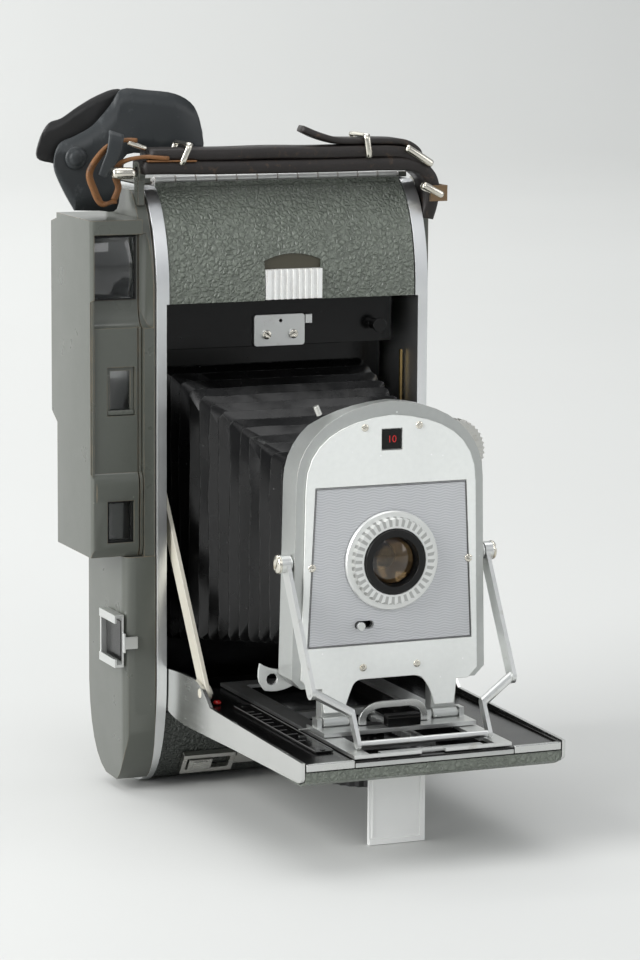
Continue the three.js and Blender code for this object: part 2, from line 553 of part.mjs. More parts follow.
// ---- bed: the drop-front with its deck, arms, braces, knob and foot ------------------------------------
const PAN_UNDER = 34.9;
const HEEL = { outer: BED_HINGE.z - PAN_UNDER, inner: BED_HINGE.z - PAN_UNDER - 1.4, sweep: 68 };
{
  const heel = (radius, fromDeg, toDeg) =>
    Array.from({ length: 9 }, (_, i) => {
      const angle = ((fromDeg + ((toDeg - fromDeg) * i) / 8) * Math.PI) / 180;
      return [BED_HINGE.y + radius * Math.sin(angle), BED_HINGE.z - radius * Math.cos(angle)];
    });
  const sheet = alongX(
    [[BED_FRONT, PAN_UNDER], ...heel(HEEL.outer, 0, HEEL.sweep), ...heel(HEEL.inner, HEEL.sweep, 0), [BED_FRONT, PAN_UNDER + 1.4]],
    -BED_HALF,
    BED_HALF,
  );
  const floor = box(-BED_HALF, BED_HALF, BED_FRONT, -2, PAN_UNDER, BED_FLOOR);
  const frontRim = box(-BED_HALF, BED_HALF, BED_FRONT, BED_FRONT + 2.4, PAN_UNDER, BED_DECK);
  const frontBevel = join(
    alongX([[BED_FRONT - 2, 38.3], [-139, PAN_UNDER], [-139, 30], [BED_FRONT - 2, 30]], -60, 60),
    box(-60, 60, BED_FRONT - 1, BED_FRONT + 1, 30, 40.4),
  );
  const deck = sides.flatMap(([, sign]) => {
    const [x0, x1] = between(sign, 25.4, BED_HALF);
    const [wall0, wall1] = between(sign, 25.4, 26.8);
    const [rim0, rim1] = between(sign, BED_HALF - 1.3, BED_HALF);
    return [
      box(x0, x1, BED_FRONT + 0.5, -4, BED_DECK - 1.2, BED_DECK),
      box(wall0, wall1, BED_FRONT + 0.5, -4, BED_FLOOR - 0.5, BED_DECK),
      box(rim0, rim1, BED_FRONT, -2, PAN_UNDER, 43.6),
    ];
  });
  const ears = [-13.9, 12.9].map((x) => box(x, x + 1.2, FOOT.y - 1.6, FOOT.y + 1.6, 31, PAN_UNDER + 1));
  const shaftHole = bar([0, KNOB.y, 30], [0, KNOB.y, 45], 3, 16);
  piece("bed_pan", cut(join(sheet, floor, frontRim, ...deck, ...ears), shaftHole, frontBevel), MATERIAL.black);
  const skin = cut(
    alongX(
      [[8, 33.9], [-139.3, 33.9], [BED_FRONT, 36.25], [BED_FRONT, 40.1], [BED_FRONT + 0.7, 40.1],
        [BED_FRONT + 0.7, 36.75], [-139, 34.55], [8, 34.55]].reverse(),
      -BED_HALF,
      BED_HALF,
    ),
    bar([0, KNOB.y, 30], [0, KNOB.y, 45], 3.4, 16),
    ...[-14.2, 12.6].map((x) => box(x, x + 1.8, FOOT.y - 1.9, FOOT.y + 1.9, 30, 40)),
  );
  piece("bed_leather", skin, MATERIAL.cover);
}
const ARM_INNER = BED_HALF + GAP;
const ARM_OUTER = BODY_HALF - TRIM - 0.4;
for (const [side, sign] of sides) {
  const arm = new THREE.Shape();
  arm.moveTo(16.5, 42);
  arm.quadraticCurveTo(17.5, 51, 10, 51.6);
  arm.lineTo(3.9, 51.6);
  arm.quadraticCurveTo(-20, 53.8, -32, 53.5);
  arm.quadraticCurveTo(-40, 52.5, -48, 45.4);
  arm.lineTo(BED_FRONT, 44.1);
  arm.lineTo(BED_FRONT, 38);
  arm.quadraticCurveTo(BED_FRONT + 0.5, 35.8, BED_FRONT + 5, 35.7);
  arm.lineTo(-70, 34);
  arm.quadraticCurveTo(-45, 33, -19.5, 32.4);
  arm.quadraticCurveTo(-4, 32.6, 1.6, 35.2);
  arm.lineTo(9, 40);
  const plate = alongX(arm, ...between(sign, ARM_INNER, ARM_OUTER), 5);
  const pivot = bar([sign * (ARM_INNER + 0.2), BED_HINGE.y, BED_HINGE.z], [sign * (BODY_HALF - 1), BED_HINGE.y, BED_HINGE.z], 2.1);
  const rivetHole = bar([sign * 50, BRACE_PIVOT.y, BRACE_PIVOT.z], [sign * 58, BRACE_PIVOT.y, BRACE_PIVOT.z], 2.2);
  piece(`bed_arm_${side}`, cut(join(plate, pivot), rivetHole), MATERIAL.polished);

  // Braces lock the bed open; the far end runs in a slot inside the body, which is left open here.
  const tip = {
    y: BRACE_PIVOT.y + BRACE_LENGTH * Math.sin(BRACE_LEAN),
    z: BRACE_PIVOT.z + BRACE_LENGTH * Math.cos(BRACE_LEAN),
  };
  const brace = alongX(strip(BRACE_PIVOT, tip, 7.6), ...between(sign, BED_HALF - 1.6, BED_HALF), 6);
  const rivet = join(
    bar([sign * (BED_HALF - 2.4), BRACE_PIVOT.y, BRACE_PIVOT.z], [sign * (ARM_OUTER - 0.1), BRACE_PIVOT.y, BRACE_PIVOT.z], 2, 16),
    bar([sign * (BED_HALF - 2.6), BRACE_PIVOT.y, BRACE_PIVOT.z], [sign * (BED_HALF - 1.5), BRACE_PIVOT.y, BRACE_PIVOT.z], 3, 16),
  );
  piece(`bed_brace_${side}`, join(brace, rivet), MATERIAL.silver);
}
piece(
  "distance_scale",
  join(alongZ(roundedRect(-42.7, -34.9, -128, -41, 1.2), BED_DECK + GAP, BED_DECK + 0.9, 3),
    ...[-43.4, -125.6].map((y) => bar([-38.8, y, BED_DECK + 0.8], [-38.8, y, BED_DECK + 1.2], 1.1, 10))),
  MATERIAL.silver,
);

// Focusing knob under the bed, with the pinion that drives the track's rack.
const PINION = { radius: 6, teeth: 14 };
{
  const rim = new THREE.Shape();
  const flutes = 36;
  for (let i = 0; i <= 2 * flutes; i += 1) {
    const angle = (i * Math.PI) / flutes;
    const r = i % 2 ? KNOB.radius : KNOB.radius - 0.9;
    const [x, y] = [r * Math.cos(angle), KNOB.y + r * Math.sin(angle)];
    if (i) rim.lineTo(x, y);
    else rim.moveTo(x, y);
  }
  const teeth = new THREE.Shape();
  for (let i = 0; i <= 2 * PINION.teeth; i += 1) {
    const angle = (i * Math.PI) / PINION.teeth;
    const r = i % 2 ? PINION.radius - GAP : PINION.radius - 1.5;
    const [x, y] = [r * Math.cos(angle), KNOB.y + r * Math.sin(angle)];
    if (i) teeth.lineTo(x, y);
    else teeth.moveTo(x, y);
  }
  const knob = join(
    alongZ(rim, KNOB.low, KNOB.high - 2.5),
    bar([0, KNOB.y, KNOB.high - 3], [0, KNOB.y, KNOB.high], KNOB.radius - 2.4, 32),
    bar([0, KNOB.y, KNOB.high - 1], [0, KNOB.y, 41.6], 2.6, 16),
    alongZ(teeth, BED_FLOOR + 0.5, 41.6),
  );
  piece("focus_knob", knob, MATERIAL.rubber);
}
{
  const blade = box(FOOT.left, FOOT.right, FOOT.y - 0.8, FOOT.y + 0.8, 0, FOOT.z);
  const barrel = bar([-12.3, FOOT.y, FOOT.z], [12.3, FOOT.y, FOOT.z], 1.4, 14);
  const lip = box(FOOT.left, FOOT.right, FOOT.y - 1.5, FOOT.y + 0.8, 0, 2.2);
  const edge = box(FOOT.right - 2, FOOT.right, FOOT.y - 1.5, FOOT.y + 0.8, 0, FOOT.z - 4);
  piece("support_foot", join(blade, barrel, lip, edge), MATERIAL.trim);
}

const LEG = { inner: 18.2, outer: 28.6 }; // the standard's two legs

// ---- focusing track and the sliding carriage ------------------------------------------------------------
const TRACK = { low: BED_DECK + 0.4, high: BED_DECK + 1.8, half: 33, inner: 24.6, front: -143.2, back: -2 };
{
  const frame = box(-TRACK.half, TRACK.half, TRACK.front, TRACK.back, TRACK.low, TRACK.high);
  const window = box(-TRACK.inner, TRACK.inner, -138.8, TRACK.back - 8, TRACK.low - 1, TRACK.high + 1);
  const notch = box(-5, 5, TRACK.front - 1, -141.2, TRACK.low - 1, TRACK.high + 1);
  const lensRelief = bar([0, -25, TRACK.low - 1], [0, -25, TRACK.high + 1], 20.6, 40); // for the closed bed
  const slots = sides.map(([, sign]) => box(...between(sign, 21.4, 26.2), -141.9, -131.5, TRACK.low - 1, TRACK.high + 1));
  const hangers = [-125, -66].map((y) => box(-25, 9, y, y + 3, 42, TRACK.high));
  const rack = box(PINION.radius + 1.4, 9, -125, -63, 39, 43);
  const teeth = Array.from({ length: 14 }, (_, i) => {
    const pitch = (2 * Math.PI * PINION.radius) / PINION.teeth;
    const y = KNOB.y + (i - 8) * pitch;
    return alongZ([[PINION.radius, y - 0.3], [PINION.radius + 1.6, y - 0.8], [PINION.radius + 1.6, y + 0.8], [PINION.radius, y + 0.3]], 39, 41.6);
  });
  piece("focus_track", join(cut(frame, window, notch, lensRelief, ...slots), ...hangers, rack, ...teeth), MATERIAL.silver);
}
{
  const low = TRACK.high + GAP;
  const runners = sides.map(([, sign]) => box(...between(sign, 14.6, 32.4), -112, -94, low, low + 1.7));
  const bridge = box(-16, 16, -112, -105.4, low, low + 1.7);
  const bearings = sides.flatMap(([, sign]) => [
    box(...between(sign, 29.4, 31.4), KNUCKLE.y - 2.6, KNUCKLE.y + 2.6, low, KNUCKLE.z + 2.4),
    box(...between(sign, 15.2, 17.2), KNUCKLE.y - 2.6, KNUCKLE.y + 2.6, low, KNUCKLE.z + 2.4),
  ]);
  const rods = sides.map(([, sign]) => bar([sign * 15.4, KNUCKLE.y, KNUCKLE.z], [sign * 31.2, KNUCKLE.y, KNUCKLE.z], 1.3, 12));
  const arch = new THREE.Shape();
  arch.moveTo(-14.6, low);
  arch.lineTo(-14.6, 50);
  arch.quadraticCurveTo(-13, 55.4, -5.5, 56);
  arch.lineTo(7.5, 56);
  arch.quadraticCurveTo(13, 55.4, 14.6, 50);
  arch.lineTo(14.6, low);
  arch.lineTo(11.6, low);
  arch.lineTo(11.6, 50);
  arch.quadraticCurveTo(10.6, 53, 6.5, 53.4);
  arch.lineTo(-4.5, 53.4);
  arch.quadraticCurveTo(-10.6, 53, -11.6, 50);
  arch.lineTo(-11.6, low);
  const reliefs = sides.map(([, sign]) => box(...between(sign, LEG.inner - GAP, LEG.outer + GAP), KNUCKLE.y - 3.2, KNUCKLE.y + 3.2, low - 1, low + 3));
  const deck = cut(join(...runners, bridge), ...reliefs);
  piece("lens_carriage", join(deck, ...bearings, ...rods), MATERIAL.silver);
  piece("lock_handle", cut(alongY(arch, -105.1, -103.4, 5), box(-20, 20, -110, -100, low - 1, low + 2)), MATERIAL.silver);
  const latch = join(
    box(-5.4, 8.6, -111.6, -107.4, low + 2, 50.4),
    ...[0, 1, 2].map((i) => box(-5.4, 8.6, -111.4 + 1.6 * i, -110.6 + 1.6 * i, 50, 51.6)),
  );
  piece("standard_lock_latch", latch, MATERIAL.black);
}

// ---- lens standard --------------------------------------------------------------------------------------
// Front outlines in (x, z): straight flanks that lean in a little, and a low arch on top.
function standardOutline(half, top, corner, bottom) {
  const shape = new THREE.Shape();
  shape.moveTo(-half - 1, bottom + 4);
  shape.lineTo(-half, 110);
  shape.lineTo(-half + 0.6, corner);
  shape.bezierCurveTo(-half + 0.6, corner + 18, -half * 0.6, top - 1.5, 0, top);
  shape.bezierCurveTo(half * 0.6, top - 1.5, half - 0.6, corner + 18, half - 0.6, corner);
  shape.lineTo(half, 110);
  shape.lineTo(half + 1, bottom + 4);
  shape.lineTo(half - 3, bottom);
  shape.lineTo(28.6, bottom);
  return shape;
}
{
  const caseShape = standardOutline(40.2, 173.6, 142, 62);
  caseShape.lineTo(15.4, 62);
  caseShape.lineTo(13.4, 64.6);
  caseShape.lineTo(-13.4, 64.6);
  caseShape.lineTo(-15.4, 62);
  caseShape.lineTo(-37.2, 62);
  const shell = alongY(caseShape, CASE_FRONT, CASE_BACK, 10);
  const inside = standardOutline(37, 170, 141, 68);
  inside.lineTo(-34, 68);
  const cavity = alongY(inside, CASE_FRONT + 2.4, CASE_BACK - 2.4, 8);
  const mouth = bar([0, -110, LENS_Z], [0, -92, LENS_Z], 15.5, 36);
  const exit = bar([0, -92, LENS_Z], [0, -80, LENS_Z], 13, 28);
  const wheelSlot = bar([WHEEL.x, -93.6, WHEEL.z], [WHEEL.x, -88, WHEEL.z], WHEEL.radius + 0.6, 30);
  const chamfer = alongX([[CASE_BACK - 9, 174.4], [CASE_BACK + 1, 162.2], [CASE_BACK + 1, 176]], -45, 45);
  const selectorSlot = alongY(roundedRect(-14.8, -7.2, 84.6, 87.4, 1.3), -102, -95, 3);
  const legs = sides.flatMap(([, sign]) => [
    box(...between(sign, LEG.inner, LEG.outer), KNUCKLE.y + 0.3, -94.4, KNUCKLE.z, 66),
    bar([sign * LEG.inner, KNUCKLE.y, KNUCKLE.z], [sign * LEG.outer, KNUCKLE.y, KNUCKLE.z], 2.7, 18),
  ]);
  const bores = sides.map(([, sign]) => bar([sign * 10, KNUCKLE.y, KNUCKLE.z], [sign * 35, KNUCKLE.y, KNUCKLE.z], 1.7, 12));
  const post = bar([WHEEL.x, -97, WHEEL.z], [WHEEL.x, -87, WHEEL.z], 1.5, 12);
  const body = cut(shell, cavity, mouth, exit, wheelSlot, chamfer, selectorSlot);
  piece("standard_case", join(cut(join(body, ...legs), ...bores), post), MATERIAL.silver);

  const plateShape = standardOutline(36.6, 168.2, 140.5, 61.8);
  plateShape.lineTo(28.2, 56);
  plateShape.lineTo(27.6, 52);
  plateShape.lineTo(19.4, 52);
  plateShape.quadraticCurveTo(17.6, 59, 14.4, 62.6);
  plateShape.quadraticCurveTo(13, 64.2, 10, 64.4);
  plateShape.lineTo(-12, 64.4);
  plateShape.quadraticCurveTo(-15, 64.2, -16, 61.6);
  plateShape.quadraticCurveTo(-17.6, 58, -19.4, 52);
  plateShape.lineTo(-27.6, 52);
  plateShape.lineTo(-28.2, 56);
  plateShape.lineTo(-28.6, 61.8);
  plateShape.lineTo(-33.6, 61.8);
  const panelOutline = (grow) => {
    const shape = new THREE.Shape();
    shape.moveTo(-35.1 - grow, 78 - grow);
    shape.lineTo(35.1 + grow, 78 - grow);
    shape.lineTo(32 + grow, 141 + grow);
    shape.lineTo(-32 - grow, 141 + grow);
    return shape;
  };
  const eyeWindow = box(-4.4, 4.4, -105, -95, 154.4, 162.9);
  const plate = cut(alongY(plateShape, FACE, FACE + 0.9, 8), alongY(panelOutline(0), -105, -95), eyeWindow);
  piece("face_plate", plate, MATERIAL.plate);
  const panel = cut(alongY(panelOutline(-GAP), FACE + 0.2, FACE + 0.9), bar([0, -105, LENS_Z], [0, -95, LENS_Z], 15.6, 36),
    alongY(roundedRect(-15, -7, 84.4, 87.6, 1.5), -105, -95, 3));
  piece("pattern_panel", panel, MATERIAL.pattern);
}
{
  const flutes = 36;
  const rim = new THREE.Shape();
  for (let i = 0; i <= 2 * flutes; i += 1) {
    const angle = (i * Math.PI) / flutes;
    const r = i % 2 ? 16.4 : 17.1;
    const [x, z] = [r * Math.cos(angle), LENS_Z + r * Math.sin(angle)];
    if (i) rim.lineTo(x, z);
    else rim.moveTo(x, z);
  }
  rim.holes.push(circle(0, LENS_Z, 13.2));
  const base = turned([[13.2, FACE - 0.2], [13.2, FACE - 1.6], [19.2, FACE - 1.6], [19.64, FACE - 1.1], [19.64, FACE - 0.2]], 0, LENS_Z, 48);
  const sleeve = turned([[13.2, FACE - 1], [15.1, FACE - 1], [15.1, -96], [13.2, -96]], 0, LENS_Z, 36);
  piece("lens_bezel", join(base, sleeve, alongY(rim, FACE - 4, FACE - 1.4, 16)), MATERIAL.plate);
  const cell = turned(
    [[9.2, -95], [9.2, -103.8], [9.9, -105.8], [12.6, -105.8], [12.9, -105], [12.9, -95]],
    0, LENS_Z, 40,
  );
  piece("lens_cell", cell, MATERIAL.black);
  const front = turned([[0, -104], [5, -103.5], [8.9, -102.2], [8.9, -99.6], [5, -98.9], [0, -98.6]], 0, LENS_Z, 32);
  piece("front_lens", front, MATERIAL.glass);
  const blade = turned([[3.8, -93.6], [30, -93.6], [30, -92.8], [3.8, -92.8]], 0, LENS_Z, 32);
  piece("shutter_plate", cut(blade, bar([WHEEL.x, -95, WHEEL.z], [WHEEL.x, -90, WHEEL.z], 15, 24)), MATERIAL.black);
  piece("rear_lens_cell", turned([[0, -91.4], [8, -91], [8, -89.6], [12.6, -89.6], [12.6, -84], [8.4, -84], [8, -85.4], [0, -86.4]], 0, LENS_Z, 28), MATERIAL.glass);
}
{
  const rim = new THREE.Shape();
  const teeth = 40;
  for (let i = 0; i <= 2 * teeth; i += 1) {
    const angle = (i * Math.PI) / teeth;
    const r = i % 2 ? WHEEL.radius : WHEEL.radius - 0.8;
    const [x, z] = [WHEEL.x + r * Math.cos(angle), WHEEL.z + r * Math.sin(angle)];
    if (i) rim.lineTo(x, z);
    else rim.moveTo(x, z);
  }
  rim.holes.push(circle(WHEEL.x, WHEEL.z, 1.8));
  piece("exposure_wheel", alongY(rim, -93, -88.8, 6), MATERIAL.steel);

  const lever = new THREE.Shape();
  lever.moveTo(-31, 75);
  lever.quadraticCurveTo(-30, 68, -36, 67.4);
  lever.quadraticCurveTo(-44, 67, -48.6, 70.4);
  lever.quadraticCurveTo(-50.6, 63, -46.5, 59.4);
  lever.quadraticCurveTo(-40, 58, -34, 61);
  lever.quadraticCurveTo(-27, 65, -27.4, 73.6);
  lever.holes.push(circle(-43.6, 63.8, 2.4));
  const arm = alongY(lever, -85.6, -84.2, 5);
  const hub = bar([-29.4, -85.7, 73.4], [-29.4, -84.1, 73.4], 3, 14);
  piece("shutter_release_lever", join(arm, hub), MATERIAL.silver);
  piece("shutter_selector", join(bar([-13.4, FACE - 2.6, 86], [-13.4, -97.6, 86], 1, 10), bar([-13.4, FACE - 2.8, 86], [-13.4, FACE - 1.4, 86], 1.7, 12)), MATERIAL.silver);
  piece("cable_release_post", bar([-27.4, -93.2, 168.4], [-29, -93.2, 172], 1.2, 12), MATERIAL.steel);
}

// Diagonal strut: one bent frame, hinged on the case's sides, with its rod across the front of the track.
{
  const along = (t) => ({
    y: STRUT_TOP.y + (STRUT_ROD.y - STRUT_TOP.y) * t,
    z: STRUT_TOP.z + (STRUT_ROD.z - STRUT_TOP.z) * t,
  });
  const KINK = { start: 0.7, end: 0.83, x: 42.4, foot: 27.6, thick: 1.6 };
  const parts = sides.flatMap(([, sign]) => {
    const upper = alongX(strip(STRUT_TOP, along(KINK.start), 6), ...between(sign, KINK.x - KINK.thick / 2, KINK.x + KINK.thick / 2), 6);
    const eye = bar([sign * (KINK.x - 0.8), STRUT_TOP.y, STRUT_TOP.z], [sign * (KINK.x + 3), STRUT_TOP.y, STRUT_TOP.z], 3.6, 24);
    const a = along(KINK.start);
    const b = along(KINK.end);
    const step = bar([sign * KINK.x, a.y, a.z], [sign * KINK.foot, b.y, b.z], 1.9, 10);
    const lower = alongX(strip(b, STRUT_ROD, 3.4), ...between(sign, KINK.foot - 0.8, KINK.foot + 0.8), 5);
    return [upper, eye, step, lower];
  });
  const rod = bar([-KINK.foot - 0.4, STRUT_ROD.y, STRUT_ROD.z], [KINK.foot + 0.4, STRUT_ROD.y, STRUT_ROD.z], 1.4, 14);
  piece("strut_frame", join(...parts, rod), MATERIAL.silver);
}

// ---- bellows -----------------------------------------------------------------------------------------------
{
  const FRONT = { y: -83.8, half: 35.4, low: 76, high: 147 };
  const REAR = { y: GATE - 0.4, half: 46.5, low: 57, high: 173 };
  const tube = (inset) => {
    const ring = ({ y, half, low, high }, push) => [
      [-half + inset, y + push, low + inset], [half - inset, y + push, low + inset],
      [half - inset, y + push, high - inset], [-half + inset, y + push, high - inset],
    ];
    const points = [...ring(FRONT, inset ? -1 : 0), ...ring(REAR, inset ? 1 : 0)];
    const geometry = new THREE.BufferGeometry();
    geometry.setAttribute("position", new THREE.Float32BufferAttribute(points.flat(), 3));
    const faces = [[0, 1, 2, 3], [7, 6, 5, 4], [4, 5, 1, 0], [5, 6, 2, 1], [6, 7, 3, 2], [7, 4, 0, 3]];
    geometry.setIndex(faces.flatMap(([a, b, c, d]) => [a, b, c, a, c, d]));
    return solid(geometry);
  };
  piece("bellows", cut(tube(0), tube(2.4)), MATERIAL.bellows);
}

export default camera;
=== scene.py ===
"""A folding instant camera, open and standing on its base, in a pale studio."""

import math
import random

import bmesh
import bpy
from mathutils import Matrix, Vector


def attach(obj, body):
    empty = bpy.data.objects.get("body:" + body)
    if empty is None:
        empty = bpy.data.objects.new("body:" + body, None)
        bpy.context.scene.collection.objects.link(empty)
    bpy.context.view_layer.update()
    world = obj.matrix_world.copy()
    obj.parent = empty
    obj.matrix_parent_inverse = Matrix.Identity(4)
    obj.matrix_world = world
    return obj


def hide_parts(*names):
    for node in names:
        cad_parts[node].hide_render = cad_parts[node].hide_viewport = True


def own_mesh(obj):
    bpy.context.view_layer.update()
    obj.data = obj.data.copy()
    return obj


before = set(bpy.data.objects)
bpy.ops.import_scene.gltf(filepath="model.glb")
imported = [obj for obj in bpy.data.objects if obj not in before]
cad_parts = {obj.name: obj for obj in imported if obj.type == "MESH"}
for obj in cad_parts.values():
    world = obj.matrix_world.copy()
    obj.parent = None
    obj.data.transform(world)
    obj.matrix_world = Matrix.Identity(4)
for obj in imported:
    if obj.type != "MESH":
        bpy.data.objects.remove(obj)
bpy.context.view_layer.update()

MM = 0.001
FRONT_Y = -31.0  # the design frame has Y = 0 on the front of the body's trims
random.seed(7)


def at(x, y, z):
    """A point of the design frame (millimetres) in the row's frame (metres)."""
    return Vector((x * MM, (y + FRONT_Y) * MM, z * MM))


# ---- camera ------------------------------------------------------------------------------------------
VIEW_YAW = math.radians(-22.70)
VIEW_PITCH = math.radians(-9.11)
VIEW_ROLL = math.radians(0.37)
LENS_MM = 141.8
CAMERA_PLACE = at(-585.52, -1428.35, 375.05)


def make_camera():
    """A long lens that looks slightly down on the front from the left, as in the photograph."""
    forward = Vector((
        -math.sin(VIEW_YAW) * math.cos(VIEW_PITCH),
        math.cos(VIEW_YAW) * math.cos(VIEW_PITCH),
        math.sin(VIEW_PITCH),
    ))
    level = Vector((math.cos(VIEW_YAW), math.sin(VIEW_YAW), 0))
    upright = level.cross(forward)
    right = level * math.cos(VIEW_ROLL) + upright * math.sin(VIEW_ROLL)
    up = upright * math.cos(VIEW_ROLL) - level * math.sin(VIEW_ROLL)
    data = bpy.data.cameras.new("studio_camera")
    data.sensor_width = 36
    data.lens = LENS_MM
    data.clip_end = 50
    camera = bpy.data.objects.new("studio_camera", data)
    bpy.context.scene.collection.objects.link(camera)
    turn = Matrix((right, up, -forward)).transposed().to_4x4()
    camera.matrix_world = Matrix.Translation(CAMERA_PLACE) @ turn
    bpy.context.scene.camera = camera


make_camera()


# ---- materials ---------------------------------------------------------------------------------------
class Shader:
    """One procedural material: a principled surface plus the detail its methods add."""

    def __init__(self, name, colour, roughness, metallic=0.0, coat=0.0, specular=0.5):
        self.material = bpy.data.materials.new(name)
        self.material.use_nodes = True
        self.tree = self.material.node_tree
        self.bsdf = self.tree.nodes["Principled BSDF"]
        self.position = self.add("ShaderNodeTexCoord").outputs["Object"]
        self.bsdf.inputs["Metallic"].default_value = metallic
        self.bsdf.inputs["Coat Weight"].default_value = coat
        self.bsdf.inputs["Coat Roughness"].default_value = 0.12
        self.bsdf.inputs["Specular IOR Level"].default_value = specular
        self.colour = self.value_colour(colour)
        self.rough = self.value_float(roughness)
        self.normal = None
        self.material.diffuse_color = (*colour, 1)

    def add(self, kind, **settings):
        node = self.tree.nodes.new(kind)
        for key, value in settings.items():
            setattr(node, key, value)
        return node

    def link(self, source, target):
        self.tree.links.new(source, target)

    def value_colour(self, colour):
        node = self.add("ShaderNodeRGB")
        node.outputs[0].default_value = (*colour, 1)
        return node.outputs[0]

    def value_float(self, number):
        node = self.add("ShaderNodeValue")
        node.outputs[0].default_value = number
        return node.outputs[0]

    def stretched(self, stretch):
        """Object coordinates scaled along each axis, so that a texture runs along the part."""
        node = self.add("ShaderNodeMapping")
        node.inputs["Scale"].default_value = stretch
        self.link(self.position, node.inputs["Vector"])
        return node.outputs["Vector"]

    def noise(self, size_mm, detail=3.0, stretch=(1, 1, 1), rough=0.5, distortion=0.0):
        node = self.add("ShaderNodeTexNoise")
        node.inputs["Scale"].default_value = 1000 / size_mm
        node.inputs["Detail"].default_value = detail
        node.inputs["Roughness"].default_value = rough
        node.inputs["Distortion"].default_value = distortion
        self.link(self.stretched(stretch), node.inputs["Vector"])
        return node.outputs["Fac"]

    def ramp(self, source, low, high, smooth=False):
        node = self.add("ShaderNodeMapRange")
        node.interpolation_type = "SMOOTHSTEP" if smooth else "LINEAR"
        node.inputs["From Min"].default_value = low
        node.inputs["From Max"].default_value = high
        self.link(source, node.inputs["Value"])
        return node.outputs["Result"]

    def maths(self, operation, a, b):
        node = self.add("ShaderNodeMath", operation=operation)
        for socket, value in zip(node.inputs, (a, b)):
            if isinstance(value, (int, float)):
                socket.default_value = value
            else:
                self.link(value, socket)
        return node.outputs[0]

    def mix_colour(self, factor, colour):
        """Lays a colour over what is there, where the factor is high."""
        node = self.add("ShaderNodeMix", data_type="RGBA")
        self.link(factor, node.inputs["Factor"])
        self.link(self.colour, node.inputs["A"])
        node.inputs["B"].default_value = (*colour, 1)
        self.colour = node.outputs["Result"]

    def vary_colour(self, size_mm, amount):
        """Makes the colour lighter and darker in patches."""
        level = self.add("ShaderNodeHueSaturation")
        swing = self.maths("MULTIPLY", self.noise(size_mm, 4.0), 2 * amount)
        value = self.maths("ADD", swing, 1 - amount)
        self.link(value, level.inputs["Value"])
        self.link(self.colour, level.inputs["Color"])
        self.colour = level.outputs["Color"]

    def vary_rough(self, size_mm, amount, stretch=(1, 1, 1), detail=3.0):
        centred = self.maths("SUBTRACT", self.noise(size_mm, detail, stretch), 0.5)
        self.rough = self.maths("ADD", self.rough, self.maths("MULTIPLY", centred, 2 * amount))

    def bump(self, height, depth_mm):
        node = self.add("ShaderNodeBump")
        node.inputs["Distance"].default_value = depth_mm * MM
        node.inputs["Strength"].default_value = 1.0
        self.link(height, node.inputs["Height"])
        if self.normal:
            self.link(self.normal, node.inputs["Normal"])
        self.normal = node.outputs["Normal"]

    def edges(self, radius_mm, breakup_mm, low=0.3, high=0.62):
        """A mask that is high on convex and concave edges, broken up by noise."""
        node = self.add("ShaderNodeBevel", samples=4)
        node.inputs["Radius"].default_value = radius_mm * MM
        plain = self.add("ShaderNodeNewGeometry")
        dot = self.add("ShaderNodeVectorMath", operation="DOT_PRODUCT")
        self.link(node.outputs["Normal"], dot.inputs[0])
        self.link(plain.outputs["Normal"], dot.inputs[1])
        edge = self.ramp(dot.outputs["Value"], 0.995, 0.85)
        patch = self.ramp(self.noise(breakup_mm, 5.0, rough=0.65), low, high)
        return self.maths("MULTIPLY", edge, patch)

    def specks(self, size_mm, share, colour):
        """Small scattered specks of dust or chips."""
        cells = self.add("ShaderNodeTexVoronoi")
        cells.inputs["Scale"].default_value = 1000 / size_mm
        self.link(self.position, cells.inputs["Vector"])
        near = self.ramp(cells.outputs["Distance"], 0.16, 0.1)
        pick = self.add("ShaderNodeSeparateColor")
        self.link(cells.outputs["Color"], pick.inputs["Color"])
        chosen = self.ramp(pick.outputs["Red"], share, share * 0.8)
        self.mix_colour(self.maths("MULTIPLY", near, chosen), colour)

    def done(self):
        self.link(self.colour, self.bsdf.inputs["Base Color"])
        self.link(self.rough, self.bsdf.inputs["Roughness"])
        if self.normal:
            self.link(self.normal, self.bsdf.inputs["Normal"])
        return self.material


